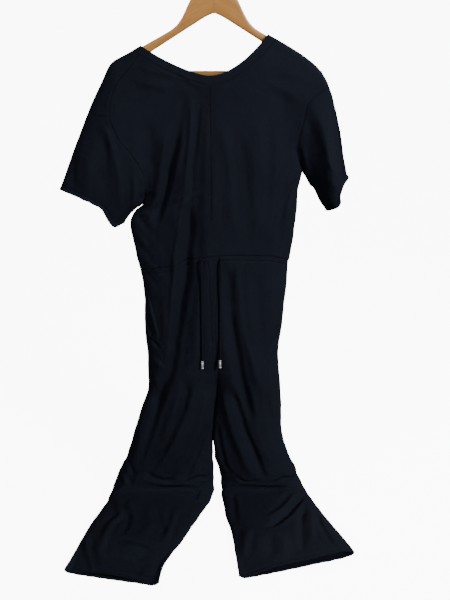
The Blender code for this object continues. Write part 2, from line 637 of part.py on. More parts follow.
def casingPiece(finish):
    """Strip round the back of the waist from one corner of the centre strip to the other."""
    front, back = bodyColumns(False), bodyColumns(True)
    left, right = front[:stripColumns[0] + 1][::-1], front[stripColumns[1]:][::-1]
    patches = []
    for x, isBack in ((left, False), (back, True), (right, False)):
        top, low = waistLine(x, isBack), waistLine(x, isBack, casingHeight)
        z = np.stack([top, low])
        xs = np.broadcast_to(x, z.shape).copy()
        if not isBack:
            corner = 0 if x is left else -1
            hand = "left" if x is left else "right"
            xs[1, corner] = smooth(-z[1, corner], strip["at"], strip[hand])
        points, normals = upperPoint(xs, z, back=isBack)
        patches.append([points, normals, plainThickness(points), False])
    for k, end, other in ((0, -1, 0), (2, 0, -1)):
        patches[k][0][:, end, 1] = 0
        patches[1][0][:, other] = patches[k][0][:, end]
        patches[1][1][:, other] = patches[k][1][:, end]
    patches[0][0] = inset(patches[0][0], ["left"])
    patches[2][0] = inset(patches[2][0], ["right"])
    for patch in patches:
        patch[0] = inset(patch[0], ["first", "last"])
    for k, end, other in ((0, -1, 0), (2, 0, -1)):
        patches[1][0][:, other] = patches[k][0][:, end]
    return makeWall("waist_casing", patches, finish)


# Rows down a trouser panel, closer together at the crotch and where the leg turns onto the floor
rowsAt = np.concatenate([np.linspace(632, 922, 11), [strip["at"][-1]], np.linspace(crotchAt, 1155, 8),
                         np.linspace(1178, 1245, 5), np.linspace(1275, 1488, 8)])
stripRows = 12


def trouserRows(hand, back):
    """s and distance along the cloth of a trouser panel's grid, from the casing to the hem."""
    x = bodyColumns(back)
    if back:
        half = len(backAngles[backAngles < math.pi / 2 + 0.001])
        x = x[:half] if hand == "left" else x[half - 1:][::-1]
    else:
        x = x[:stripColumns[0] + 1] if hand == "left" else x[stripColumns[1]:][::-1]
    top = -waistLine(x, back, casingHeight)
    first = edgeShare(hand, np.full(len(x), 650.0), x)
    even = first / first[-1]
    hemAt = hem[hand][0] + (hem[hand][1] - hem[hand][0]) * (1 - np.cos(math.pi * even)) / 2
    nominal = rowsAt[:, None]
    upper = np.clip(1 - (nominal - rowsAt[0]) / 90, 0, 1) ** 2
    lower = np.clip(1 - (rowsAt[-1] - nominal) / 240, 0, 1) ** 1.5
    at = nominal + (top - rowsAt[0]) * upper + (hemAt - 12 - rowsAt[-1]) * lower
    at = np.concatenate([at, hemAt - beadRows[:, None]])
    if back:
        return np.broadcast_to(even, at.shape).copy(), at
    stripX = smooth(at[:, -1], strip["at"], strip[hand])
    last = np.where(at[:, -1] <= strip["at"][-1], edgeShare(hand, at[:, -1], stripX), 1.0)
    return even * last[:, None], at


def trouserPiece(hand, back, finish):
    """A trouser panel from the casing to the hem."""
    s, at = trouserRows(hand, back)
    points, normals = legPoint(hand, back, s, at)
    points = inset(points, ["first"])
    trimmed = inset(points.copy(), ["right"])
    upper = at[:, -1] < crotchAt + 5
    points[upper, -1] = trimmed[upper, -1]
    thick = plainThickness(points)
    thick[-2:] = cloth["beadThickness"]
    lift = (cloth["beadThickness"] - cloth["thickness"]) / 2
    points[-2:, :, 2] = np.maximum(points[-2:, :, 2], floorLevel + lift)
    return makeWall("trouser_" + ("back_" if back else "front_") + hand,
                    [(points, normals, thick, (hand == "left") != back)], finish)


def stripPiece(finish):
    """The strip between the trouser fronts down to the crotch, its rows taken from theirs."""
    top = bodyColumns(False)[stripColumns[0]:stripColumns[1] + 1]
    ends = {hand: np.concatenate([[-waistLine(x, False)], trouserRows(hand, False)[1][:stripRows, -1]])
            for hand, x in (("left", top[0]), ("right", top[-1]))}
    across = np.linspace(0, 1, len(top))
    at = ends["left"][:, None] * (1 - across) + ends["right"][:, None] * across
    x = smooth(at[:, :1], strip["at"], strip["left"]) * (1 - across)
    x = x + smooth(at[:, -1:], strip["at"], strip["right"]) * across
    x[0], at[0] = top, -waistLine(top, False)
    middle = smooth(at, legs["at"], legs["leftIn"])
    left = legPoint("left", False, edgeShare("left", at, np.minimum(x, middle)), at)
    right = legPoint("right", False, edgeShare("right", at, np.maximum(x, middle)), at)
    onLeft = (x < middle)[..., None]
    points = inset(np.where(onLeft, left[0], right[0]), ["first", "left", "right"])
    normals = np.where(onLeft, left[1], right[1])
    return makeWall("centre_strip", [(points, normals, plainThickness(points), True)], finish)


def makeCord(name, points, diameter, finish, resolution=2):
    """Tube of a cord or wire along points, with closed ends."""
    data = bpy.data.curves.new(name, "CURVE")
    data.dimensions = "3D"
    data.bevel_depth = diameter / 2 * mm
    data.bevel_resolution = resolution
    data.use_fill_caps = True
    line = data.splines.new("POLY")
    line.points.add(len(points) - 1)
    for point, place in zip(line.points, points):
        point.co = (*(np.asarray(place) * mm), 1)
    line.use_smooth = True
    data.materials.append(finish)
    made = bpy.data.objects.new(name, data)
    bpy.context.scene.collection.objects.link(made)
    return made


def routePoints(route, spacing):
    """Points of a smooth curve through a route's own points, which are used as they are in its bend."""
    own = np.stack([route["x"], route["y"], route["z"]], -1).astype(float)
    along = np.concatenate([[0.0], np.cumsum(np.linalg.norm(np.diff(own, axis=0), axis=1))])
    straight = np.linspace(along[cordBend], along[-1], int((along[-1] - along[cordBend]) / spacing) + 1)
    t = np.concatenate([along[:cordBend], straight])
    return np.stack([smooth(t, along, own[:, k]) for k in range(3)], -1)


def turned(name, profile, place, axis, finish, sides=16):
    """Ring or solid turned from radius and height pairs about an axis through place."""
    axis = np.asarray(axis, float) / np.linalg.norm(axis)
    side = np.cross(axis, (0, 0, 1) if abs(axis[2]) < 0.9 else (1, 0, 0))
    side /= np.linalg.norm(side)
    other = np.cross(axis, side)
    vertices, faces, rings = [], [], []
    for radius, height in profile:
        if radius == 0:
            rings.append([len(vertices)])
            vertices.append(np.asarray(place) + axis * height)
            continue
        rings.append(list(range(len(vertices), len(vertices) + sides)))
        for k in range(sides):
            turn = 2 * math.pi * k / sides
            out = side * math.cos(turn) + other * math.sin(turn)
            vertices.append(np.asarray(place) + axis * height + out * radius)
    closed = profile[0][0] != 0
    for k in range(len(rings) - (0 if closed else 1)):
        a, b = rings[k], rings[(k + 1) % len(rings)]
        for j in range(sides):
            i = (j + 1) % sides
            if len(a) == 1:
                faces.append([a[0], b[i], b[j]])
            elif len(b) == 1:
                faces.append([a[j], a[i], b[0]])
            else:
                faces.append([a[j], a[i], b[i], b[j]])
    return makeObject(name, vertices, faces, finish)


def hangerArms(finish):
    """Both arms and the boss as one bar of rounded section, from one end to the other."""
    span = hanger["halfSpan"]
    places = np.sin(np.linspace(-1, 1, 31) * math.pi / 2) * 0.25 + np.linspace(-1, 1, 31) * 0.75
    corners = ((1, 1, 0), (-1, 1, 90), (-1, -1, 180), (1, -1, 270))
    sections = []
    for place in places:
        x = place * span
        boss = math.exp(-(abs(x) / hanger["bossReach"]) ** 4)
        fall = float(ridge(x + 1) - ridge(x - 1)) / 2
        top = float(ridge(x)) - (cloth["thickness"] + hanger["clothGap"]) * math.sqrt(1 + fall * fall)
        top += (hanger["bossTop"] - top) * boss
        low = hanger["innerApex"] - hanger["innerSlope"] * math.hypot(x, hanger["apexRound"])
        end = min((span - abs(x)) / hanger["endRound"], 1)
        shrink = max(0.35, math.sqrt(1 - (1 - end) ** 2))
        middle, half = (top + low) / 2, (top - low) / 2 * shrink
        thick = hanger["thickness"] / 2 * shrink
        corner = hanger["corner"] * shrink
        ring = []
        for sy, sz, turn in corners:
            for step in (0, 45, 90):
                angle = math.radians(turn + step)
                y = sy * (thick - corner) + corner * math.cos(angle)
                ring.append((x, y, middle + sz * (half - corner) + corner * math.sin(angle)))
        sections.append(ring)
    count = len(sections[0])
    vertices = [np.array(v) for ring in sections for v in ring]
    faces = [list(range(count))[::-1], list(range(len(vertices) - count, len(vertices)))]
    for k in range(len(sections) - 1):
        for j in range(count):
            i = (j + 1) % count
            faces.append([k * count + j, k * count + i, (k + 1) * count + i, (k + 1) * count + j])
    return makeObject("hanger_arms", vertices, faces, finish)


def hangerBar(finish):
    """Round bar between the arms, its ends cut to the slope of their inner edges."""
    radius = bar["diameter"] / 2
    vertices, faces = [], []
    for sign in (-1, 1):
        for k in range(bar["sides"]):
            turn = 2 * math.pi * k / bar["sides"]
            z = bar["level"] + radius * math.sin(turn)
            reach = (hanger["innerApex"] - z) / hanger["innerSlope"] - bar["jointGap"] * 2
            vertices.append(np.array((sign * reach, radius * math.cos(turn), z)))
    n = bar["sides"]
    faces.append(list(range(n))[::-1])
    faces.append(list(range(n, 2 * n)))
    faces += [[k, (k + 1) % n, (k + 1) % n + n, k + n] for k in range(n)]
    return makeObject("hanger_bar", vertices, faces, finish)


def hangerHook(finish):
    """Wire hook: a stem out of the boss, a bend to the right and the bow over the rod."""
    radius = hook["bow"] + hook["wire"] / 2
    centre = -hook["bow"]
    points = [(0, 0, hook["stemFoot"] + rise) for rise in (0, 6, 12)]
    bow = [(radius * math.cos(turn), 0, centre + radius * math.sin(turn))
           for turn in np.radians(np.linspace(hook["bowStart"], hook["bowEnd"], 27))]
    first, last = np.array(points[-1]), np.array(bow[0])
    control = np.array((0, 0, last[2] - hook["wire"]))
    for t in (0.2, 0.4, 0.6, 0.8):
        points.append(tuple((1 - t) ** 2 * first + 2 * t * (1 - t) * control + t * t * last))
    return makeCord("hanger_hook", points + bow, hook["wire"], finish, 2)


def surfaceAt(x, z):
    """Point and normal of the dressed front near the waist."""
    point, normal = upperPoint(np.array([float(x)]), np.array([float(z)]))
    return point[0], normal[0]


def cordPieces(hand, cotton, metal):
    route = cordRoute[hand]
    hole, normal = surfaceAt(*eyelet[hand])
    base = hole + normal * eyelet["stand"][hand]
    outer, inner, high = eyelet["outer"] / 2, eyelet["inner"] / 2, eyelet["height"]
    shoulder = high * 0.6
    crest = (outer + inner) / 2
    ring = ((inner, 0), (outer, 0), (outer - 0.2, shoulder), (crest, high), (inner + 0.1, shoulder))
    turned("eyelet_" + hand, ring, base, normal, cotton, 14)
    makeCord("drawcord_" + hand, routePoints(route, drawcord["spacing"]), drawcord["diameter"], cotton)
    foot = np.array((route["x"][-1], route["y"][-1], route["z"][-1]), float)
    r, length = cordTip["diameter"] / 2, cordTip["length"]
    profile = ((0, 0.3), (r - 0.4, 0.3), (r, 0.8), (r, length - 2), (r - 0.8, length - 0.4), (0, length))
    turned("cord_tip_" + hand, profile, foot, (0, 0, -1), metal, 14)


for old in list(bpy.data.objects):
    bpy.data.objects.remove(old, do_unlink=True)

jersey = material("black sweatshirt jersey", (0.007, 0.008, 0.012), 0.85)
rib = material("black neck rib", (0.007, 0.008, 0.012), 0.85)
cordCotton = material("black cotton cord", (0.006, 0.006, 0.009), 0.8)
steel = material("polished steel", (0.55, 0.55, 0.56), 0.25, 1.0)
beech = material("varnished beech", (0.43, 0.23, 0.09), 0.45)

frontPiece(jersey)
backPiece(jersey)
for hand in ("left", "right"):
    sleevePiece(hand, jersey)
neckbandPiece(rib)
casingPiece(jersey)
stripPiece(jersey)
for hand in ("left", "right"):
    for back in (False, True):
        trouserPiece(hand, back, jersey)
    cordPieces(hand, cordCotton, steel)
hangerArms(beech)
hangerBar(beech)
hangerHook(steel)
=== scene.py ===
import math

import bmesh
import bpy
import numpy as np
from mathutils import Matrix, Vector, noise
from mathutils.bvhtree import BVHTree
from mathutils.kdtree import KDTree


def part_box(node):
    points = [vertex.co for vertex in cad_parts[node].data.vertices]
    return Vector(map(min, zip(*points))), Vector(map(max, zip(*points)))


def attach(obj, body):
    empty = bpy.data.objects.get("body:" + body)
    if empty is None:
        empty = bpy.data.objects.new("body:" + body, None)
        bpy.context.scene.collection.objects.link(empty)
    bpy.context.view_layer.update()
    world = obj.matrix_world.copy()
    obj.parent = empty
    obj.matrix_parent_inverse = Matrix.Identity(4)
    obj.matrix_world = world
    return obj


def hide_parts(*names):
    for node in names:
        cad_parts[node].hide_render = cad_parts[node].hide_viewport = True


# A black jersey jumpsuit on a wooden hanger. Its front looks to -Y, "left" is the -X side, +Z is up.
# Shapes are in millimetres and become metres through mm. Depths of bump, flat sizes, areas and the
# studio are in metres.
mm = 0.001

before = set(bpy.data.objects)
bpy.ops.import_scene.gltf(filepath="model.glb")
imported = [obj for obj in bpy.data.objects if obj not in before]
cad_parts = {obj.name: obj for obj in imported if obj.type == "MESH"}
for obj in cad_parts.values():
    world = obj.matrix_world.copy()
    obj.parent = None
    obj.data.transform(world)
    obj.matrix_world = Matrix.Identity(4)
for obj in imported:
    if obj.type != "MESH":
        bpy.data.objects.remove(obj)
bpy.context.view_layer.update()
bpy.ops.object.select_all(action="DESELECT")
print("frame loaded")


def linear(hexColour):
    parts = [int(hexColour[k:k + 2], 16) / 255 for k in (1, 3, 5)]
    return tuple(p / 12.92 if p <= 0.04045 else ((p + 0.055) / 1.055) ** 2.4 for p in parts) + (1.0,)


def addNode(tree, kind, settings=None, inputs=None):
    made = tree.nodes.new(kind)
    for name, value in (settings or {}).items():
        setattr(made, name, value)
    for name, value in (inputs or {}).items():
        if isinstance(value, bpy.types.NodeSocket):
            tree.links.new(value, made.inputs[name])
        else:
            made.inputs[name].default_value = value
    return made


def maths(tree, operation, *values):
    return addNode(tree, "ShaderNodeMath", {"operation": operation}, dict(enumerate(values))).outputs[0]


def noiseField(tree, place, scale, detail=2.0, roughness=0.5):
    inputs = {"Vector": place, "Scale": scale, "Detail": detail, "Roughness": roughness}
    return addNode(tree, "ShaderNodeTexNoise", None, inputs).outputs["Fac"]


def mapRange(tree, value, given, wanted, kind="LINEAR"):
    inputs = {"Value": value, "From Min": given[0], "From Max": given[1],
              "To Min": wanted[0], "To Max": wanted[1]}
    return addNode(tree, "ShaderNodeMapRange", {"interpolation_type": kind}, inputs).outputs["Result"]


def blend(tree, share, first, second):
    inputs = {"Factor": share, 6: first, 7: second}
    return addNode(tree, "ShaderNodeMix", {"data_type": "RGBA"}, inputs).outputs[2]


# A height as bump, on top of the bump under it if there is one
def bumped(tree, height, distance, strength, under=None):
    inputs = {"Height": height, "Distance": distance, "Strength": strength}
    if under is not None:
        inputs["Normal"] = under
    return addNode(tree, "ShaderNodeBump", None, inputs).outputs["Normal"]


def objectPlace(tree):
    return addNode(tree, "ShaderNodeTexCoord").outputs["Object"]


def newMaterial(name, sockets):
    made = bpy.data.materials.new(name)
    made.use_nodes = True
    shader = made.node_tree.nodes["Principled BSDF"]
    for socket, value in sockets.items():
        shader.inputs[socket].default_value = value
    return made, made.node_tree, shader


# Sweatshirt jersey, knitted from dyed cotton: a matt, nearly black face with a hint of blue, fine
# upright columns of stitches, a little lint and a soft bloom where the light grazes it.
# The real columns are 0.7 mm apart and are drawn at 1.3 mm, so that they show at all.
jersey = {"body": "#0a0c13", "worn": "#10131b", "bloom": "#363d4b", "columnWidth": 1.3, "rowHeight": 1.1,
          "slant": 1.4, "stitchShare": 0.45, "relief": 0.0002}
# The stitched line down the middle of the front: a narrow sunk seam, too fine for the mesh. In the groove
# the cloth colour is darkened as painted shade, down to the share given as dark.
centreLine = {"x": (-8, -7.4, -6.6, -6), "at": (262, 350, 450, 537), "half": 1.1, "dark": 0.12,
              "deep": 0.0006}


def jerseyMaterial(name, turned=False, sunkCentreWithPaintedShade=False):
    made, tree, shader = newMaterial(name, {
        "Roughness": 0.88, "IOR": 1.5, "Specular IOR Level": 0.05, "Sheen Weight": 0.02,
        "Sheen Roughness": 0.4, "Sheen Tint": linear(jersey["bloom"])})
    place = addNode(tree, "ShaderNodeUVMap", {"uv_map": "clothMap"})
    split = addNode(tree, "ShaderNodeSeparateXYZ", None, {"Vector": place.outputs["UV"]})
    across, along = ("Y", "X") if turned else ("X", "Y")
    column = maths(tree, "MULTIPLY", split.outputs[across], 2 * math.pi / (jersey["columnWidth"] * mm))
    row = maths(tree, "MULTIPLY", split.outputs[along], 2 * math.pi / (jersey["rowHeight"] * mm))
    columnWave = maths(tree, "COSINE", column)
    loopWave = maths(tree, "SINE", maths(tree, "MULTIPLY_ADD", columnWave, jersey["slant"], row))
    knit = maths(tree, "MULTIPLY_ADD", loopWave, jersey["stitchShare"], columnWave)
    solid = objectPlace(tree)
    fuzz = noiseField(tree, solid, 900.0, 3.0)
    crumple = noiseField(tree, solid, 45.0, 4.0, 0.55)
    patches = noiseField(tree, solid, 9.0, 5.0, 0.6)
    tone = blend(tree, patches, linear(jersey["body"]), linear(jersey["worn"]))
    lint = mapRange(tree, fuzz, (0.66, 0.8), (0.0, 0.1))
    face = blend(tree, lint, tone, linear(jersey["bloom"]))
    normal = bumped(tree, crumple, 0.0035, 0.5)
    if sunkCentreWithPaintedShade:
        beside = addNode(tree, "ShaderNodeAttribute", {"attribute_name": "besideCentre"})
        gap = maths(tree, "ABSOLUTE", beside.outputs["Fac"])
        below = maths(tree, "GREATER_THAN", split.outputs["Y"], centreLine["at"][-1] * mm)
        sunk = mapRange(tree, gap, (0.0, centreLine["half"] * mm), (0.0, 1.0), "SMOOTHSTEP")
        level = maths(tree, "MAXIMUM", sunk, below)
        # Painted shade: the cloth colour darkens towards the middle of the sunk centre line
        shade = mapRange(tree, level, (0.0, 1.0), (centreLine["dark"], 1.0))
        face = addNode(tree, "ShaderNodeVectorMath", {"operation": "SCALE"},
                       {0: face, "Scale": shade}).outputs["Vector"]
        normal = bumped(tree, level, centreLine["deep"], 1.0, normal)
    tree.links.new(face, shader.inputs["Base Color"])
    normal = bumped(tree, fuzz, 0.0004, 0.5, normal)
    normal = bumped(tree, knit, jersey["relief"], 0.7, normal)
    tree.links.new(normal, shader.inputs["Normal"])
    return made


# Black polyester sewing thread, twisted: a little glossier than the jersey, so that stitches catch
# the light.
def threadMaterial():
    made, tree, shader = newMaterial("black polyester thread", {
        "Base Color": linear("#06080d"), "Roughness": 0.65, "Specular IOR Level": 0.08})
    twist = noiseField(tree, objectPlace(tree), 1500.0)
    tree.links.new(bumped(tree, twist, 0.0002, 0.6), shader.inputs["Normal"])
    return made


# Braided cotton cord: the braid is in its mesh, and the fibres only roughen it.
def cordMaterial():
    made, tree, shader = newMaterial("black braided cotton", {
        "Roughness": 0.85, "Specular IOR Level": 0.05, "Sheen Weight": 0.02,
        "Sheen Tint": linear(jersey["bloom"])})
    fibre = noiseField(tree, objectPlace(tree), 1800.0, 3.0)
    tone = blend(tree, fibre, linear("#05070b"), linear("#0c0f16"))
    tree.links.new(tone, shader.inputs["Base Color"])
    tree.links.new(bumped(tree, fibre, 0.0003, 0.7), shader.inputs["Normal"])
    return made


# Metal: polished steel wire is mirror-like with faint rubbing marks, and the rolled tips of satin steel
# spread their highlights wide.
def metalMaterial(name, colour, smoothest, roughest):
    made, tree, shader = newMaterial(name, {"Metallic": 1.0, "Base Color": linear(colour)})
    stretched = addNode(tree, "ShaderNodeMapping", None,
                        {"Vector": objectPlace(tree), "Scale": (1.0, 1.0, 0.15)})
    rubs = noiseField(tree, stretched.outputs["Vector"], 1400.0, 4.0)
    rough = mapRange(tree, rubs, (0.0, 1.0), (smoothest, roughest))
    tree.links.new(rough, shader.inputs["Roughness"])
    tree.links.new(bumped(tree, rubs, 0.00004, 0.5), shader.inputs["Normal"])
    return made


# Beech under clear satin varnish: warm honey wood, its fine grain following each arm down to the end,
# with the short dark flecks of beech and a mitre joint where the two arms meet.
beech = {"light": "#96672a", "dark": "#774b17", "fleck": "#5c3a17", "grainWidth": 2.5, "grainStretch": 0.06,
         "armSlope": 0.6, "joint": 0.35}
beechInPaintedShade = {"light": "#7d5c2a", "dark": "#634217"}  # the same beech drawn darker and browner for the bar, as painted shade


def beechMaterial(name, mitred, colours=beech):
    made, tree, shader = newMaterial(name, {
        "Roughness": 0.42, "IOR": 1.5, "Coat Weight": 0.25, "Coat Roughness": 0.3})
    split = addNode(tree, "ShaderNodeSeparateXYZ", None, {"Vector": objectPlace(tree)})
    out = maths(tree, "ABSOLUTE", split.outputs["X"])
    level = maths(tree, "MULTIPLY_ADD", out, beech["armSlope"] if mitred else 0.0, split.outputs["Z"])
    along = maths(tree, "MULTIPLY", split.outputs["X"], beech["grainStretch"])
    grainPlace = addNode(tree, "ShaderNodeCombineXYZ", None,
                         {"X": along, "Y": split.outputs["Y"], "Z": level}).outputs["Vector"]
    grain = noiseField(tree, grainPlace, 1 / (beech["grainWidth"] * mm), 5.0, 0.6)
    bands = noiseField(tree, grainPlace, 60.0, 2.0)
    flecks = noiseField(tree, grainPlace, 1500.0, 1.0)
    toneShare = mapRange(tree, maths(tree, "MULTIPLY_ADD", bands, 0.5, grain), (0.5, 1.0), (0.0, 1.0))
    tone = blend(tree, toneShare, linear(colours["light"]), linear(colours["dark"]))
    fleckShare = mapRange(tree, flecks, (0.62, 0.75), (0.0, 0.45))
    face = blend(tree, fleckShare, tone, linear(beech["fleck"]))
    if mitred:
        joint = maths(tree, "LESS_THAN", out, beech["joint"] * mm)
        face = blend(tree, joint, face, linear(beech["fleck"]))
    tree.links.new(face, shader.inputs["Base Color"])
    tree.links.new(bumped(tree, grain, 0.0002, 0.35), shader.inputs["Normal"])
    return made


jerseyFace = jerseyMaterial("black sweatshirt jersey")
jerseyFront = jerseyMaterial("black sweatshirt jersey, centre line sunk", sunkCentreWithPaintedShade=True)
jerseyBand = jerseyMaterial("black jersey cut crosswise", turned=True)
thread = threadMaterial()
cordCotton = cordMaterial()
steel = metalMaterial("polished steel", "#c9cbd1", 0.16, 0.34)
satinSteel = metalMaterial("satin steel", "#dadce0", 0.36, 0.54)
beechArms = beechMaterial("varnished beech arms", mitred=True)
# The bar takes the darker wood colours, painted shade where the cloth hangs over it
beechBar = beechMaterial("varnished beech bar, painted shade", mitred=False, colours=beechInPaintedShade)
print("materials made")

# Where a leg turns forward on the floor, the cloth's middle follows a quarter circle about a line
floorTurn = {"ahead": -50, "level": -1170, "radius": 50}
floorLevel = -1229


# How far down the cloth a point is below the hook, how far it stands in front of the cloth's middle
# (behind it if negative), and which way that is
def clothPlace(points):
    y, z = points[:, 1] - floorTurn["ahead"], points[:, 2] - floorTurn["level"]
    radius, start = floorTurn["radius"], -floorTurn["level"]
    lying, turning = (z < 0) & (y <= 0), (z < 0) & (y > 0)
    reach = np.hypot(y, z) + 1e-6
    at = np.where(lying, start + radius * math.pi / 2 - y, start - z)
    at = np.where(turning, start + radius * np.arctan2(-z, y), at)
    off = np.where(lying, radius + z, radius - y)
    off = np.where(turning, radius - reach, off)
    way = np.zeros_like(points)
    way[:, 1] = np.where(lying, 0, np.where(turning, -y / reach, -1))
    way[:, 2] = np.where(lying, 1, np.where(turning, -z / reach, 0))
    return at, off, way


# Creases and soft folds: their route in x and distance down the cloth, their half-width
# and their height (a trough is negative)
foldColumns = ("route", "wide", "high")
frontFolds = (
    # Long folds that fall from the left shoulder and the neck across the waist to the left leg
    (((-58, 271), (-66, 315), (-76, 365)), 7, -1.2),
    (((-72, 340), (-82, 392), (-98, 453), (-114, 511), (-126, 548)), 8, -3.8),
    (((-28, 290), (-37, 368), (-42, 408), (-49, 494), (-54, 550)), 5, -1.5),
    (((-50, 500), (-55, 565), (-59, 586), (-65, 669), (-77, 737), (-89, 803), (-100, 876), (-117, 925),
      (-140, 990)), 10.5, -4.4),
    (((-44, 284), (-50, 378), (-61, 469), (-73, 554), (-83, 600), (-88, 653), (-94, 733), (-101, 803),
      (-116, 888)), 4.5, 1.8),
    (((-95, 340), (-102, 378), (-113, 469), (-125, 522)), 8, 2.2),
    (((-14, 300), (-18, 380), (-20, 470), (-26, 560)), 9, 1.4),
    (((-128, 330), (-135, 390), (-138, 430)), 12, -1.8),
    # Pull lines at the left shoulder and under the neckband
    (((-165, 235), (-107, 247), (-67, 256)), 6, -0.9),
    (((-172, 250), (-120, 262), (-84, 268)), 6, 1.2),
    (((114, 242), (154, 252), (190, 262)), 7, -0.7),
    (((100, 256), (140, 270), (170, 290)), 7, 1.1),
    (((-80, 240), (-50, 262), (-22, 276)), 5, -0.8),
    # The right chest and flank
    (((36, 332), (52, 382), (65, 449), (68, 543), (62, 600)), 12, -1.3),
    (((16, 330), (26, 400), (33, 470), (36, 560)), 10, 1.5),
    (((88, 320), (95, 400), (98, 480), (96, 580)), 13, 1.6),
    (((153, 350), (148, 400), (145, 449), (141, 533), (136, 590)), 9, -1.5),
    (((127, 368), (125, 449), (120, 522), (116, 590)), 10, 1.1),
    (((172, 380), (180, 410), (188, 438)), 6, -2.4),
    (((178, 450), (160, 470), (144, 500)), 5, -1.8),
    (((176, 480), (160, 505), (150, 540)), 6, 1.3),
    # Crumple under the left arm and down the left flank
    (((-165, 480), (-140, 476), (-118, 484)), 6, -2.0),
    (((-168, 505), (-146, 515), (-130, 545)), 7, 1.1),
    (((-170, 522), (-150, 545), (-133, 568)), 6, -1.0),
    (((-176, 560), (-160, 575), (-148, 600)), 7, 0.8),
    (((-172, 590), (-155, 600), (-140, 618)), 6, -0.7),
    (((-156, 619), (-130, 645), (-104, 669)), 7, 0.6),
    (((-158, 650), (-138, 668), (-118, 700)), 6, -0.6),
    # The left hip, with the mouth in the side seam
    (((-153, 700), (-150, 712), (-133, 779), (-127, 813)), 3, 1.8),
    (((-157, 730), (-148, 775), (-140, 812)), 4, -2.6),
    (((-156, 806), (-140, 812), (-122, 828)), 4, -1.8),
    (((-152, 850), (-130, 862), (-112, 880)), 6, 1.2),
    (((-154, 885), (-140, 930), (-150, 975)), 7, -1.6),
    # The front's lower right, from the casing down the thigh
    (((30, 630), (32, 721), (38, 780)), 9, -1.6),
    (((34, 735), (41, 803), (55, 876), (72, 943), (88, 1010)), 9, -3.4),
    (((45, 630), (54, 737), (66, 803), (88, 870), (104, 930)), 8, 1.8),
    (((88, 640), (92, 720), (100, 800), (112, 880)), 12, -1.4),
    (((124, 650), (128, 730), (132, 800)), 10, 1.2),
    (((150, 800), (132, 815), (122, 840)), 5, -1.5),
    (((148, 840), (134, 860), (128, 895)), 5, 1.3),
    (((150, 900), (138, 930), (140, 970)), 6, -1.4),
    (((-30, 640), (-34, 720), (-42, 800), (-52, 870)), 8, 1.2),
    (((-128, 700), (-122, 790), (-126, 870)), 10, -1.1),
    # The left leg's long folds and the crumple where it meets the floor
    (((-114, 900), (-135, 981), (-166, 1080), (-186, 1125)), 8, -3.0),
    (((-58, 900), (-77, 981), (-107, 1053), (-139, 1112), (-172, 1160)), 8, -4.0),
    (((-88, 938), (-106, 1014), (-143, 1112)), 7, 2.4),
    (((-13, 938), (-44, 1040), (-73, 1106), (-109, 1158)), 8, 2.6),
    (((-13, 1014), (-37, 1080), (-61, 1135), (-80, 1165)), 7, -2.6),
    (((-150, 925), (-172, 1000), (-190, 1060)), 7, 1.8),
    (((-172, 1142), (-130, 1160), (-95, 1158)), 6, -2.0),
    (((-80, 1174), (-45, 1160), (-14, 1168)), 5, -2.0),
    (((-128, 1192), (-96, 1178), (-62, 1190)), 5, 1.6),
    (((-212, 1120), (-196, 1150), (-214, 1190)), 6, -2.0),
    (((-226, 1150), (-214, 1190), (-236, 1230)), 7, 2.2),
    (((-20, 1190), (-40, 1215), (-52, 1262)), 6, -1.6),
    (((-241, 1249), (-214, 1320), (-232, 1357), (-244, 1444)), 7, 2.6),
    (((-226, 1262), (-196, 1330), (-204, 1400)), 7, -2.0),
    (((-284, 1400), (-266, 1450), (-249, 1496)), 5, 2.4),
    (((-270, 1380), (-262, 1430), (-238, 1480)), 7, -1.6),
    (((-212, 1417), (-170, 1430), (-138, 1444), (-121, 1507)), 9, 2.0),
    (((-196, 1450), (-165, 1470), (-150, 1505)), 8, -1.5),
    (((-136, 1301), (-122, 1345), (-110, 1393)), 7, -1.8),
    (((-160, 1290), (-146, 1350), (-150, 1400)), 9, 1.4),
    (((-90, 1290), (-96, 1350), (-112, 1420)), 6, 1.5),
    # The right leg's
    (((15, 930), (33, 1014), (69, 1112), (84, 1150)), 7, 2.4),
    (((37, 918), (68, 1027), (104, 1125), (118, 1160)), 8, -3.9),
    (((78, 918), (96, 1027), (121, 1120)), 9, 2.0),
    (((118, 930), (130, 1020), (146, 1100), (166, 1150)), 9, -1.8),
    (((146, 960), (152, 1040), (168, 1110)), 7, 1.6),
    (((3, 1014), (14, 1090), (26, 1130), (45, 1158)), 6, -2.2),
    (((44, 1150), (72, 1168), (108, 1158)), 5, -2.0),
    (((118, 1178), (160, 1164), (204, 1178)), 6, -2.2),
    (((64, 1188), (98, 1178), (140, 1194)), 5, 1.5),
    (((150, 1150), (178, 1166), (204, 1172)), 5, -1.6),
    (((209, 1245), (186, 1290), (160, 1330), (134, 1354), (108, 1362)), 5, -4.2),
    (((196, 1240), (170, 1284), (142, 1322), (112, 1338)), 7, 3.0),
    (((209, 1281), (198, 1330), (192, 1375), (189, 1444)), 6, -2.4),
    (((226, 1290), (216, 1350), (212, 1420)), 6, 1.8),
    (((236, 1301), (242, 1375), (262, 1430)), 5, -1.7),
    (((77, 1360), (68, 1400), (60, 1450)), 9, 1.7),
    (((118, 1380), (124, 1420), (118, 1460)), 12, -1.4),
    (((40, 1230), (44, 1290), (52, 1340)), 7, -1.7),
    (((150, 1390), (152, 1430), (146, 1456)), 10, 1.3),
    # Sleeves: the left one's long ridge and pull lines, the right one's deep fold
    (((-232, 330), (-211, 368), (-197, 449), (-204, 510)), 7, 2.0),
    (((-222, 350), (-224, 420), (-226, 500)), 9, -1.2),
    (((-252, 380), (-258, 430), (-262, 480)), 12, 1.6),
    (((-182, 400), (-178, 450), (-186, 520)), 7, -1.0),
    (((-166, 440), (-166, 480), (-182, 525)), 5, 1.6),
    (((-290, 400), (-296, 440), (-300, 470)), 9, -1.5),
    (((200, 300), (222, 358), (240, 440), (250, 480)), 9, 1.4),
    (((236, 290), (250, 350), (262, 420), (267, 470)), 5, -3.4),
    (((196, 400), (206, 440), (222, 480)), 7, -0.5),
    (((186, 330), (184, 380), (186, 420)), 7, 0.6),
)
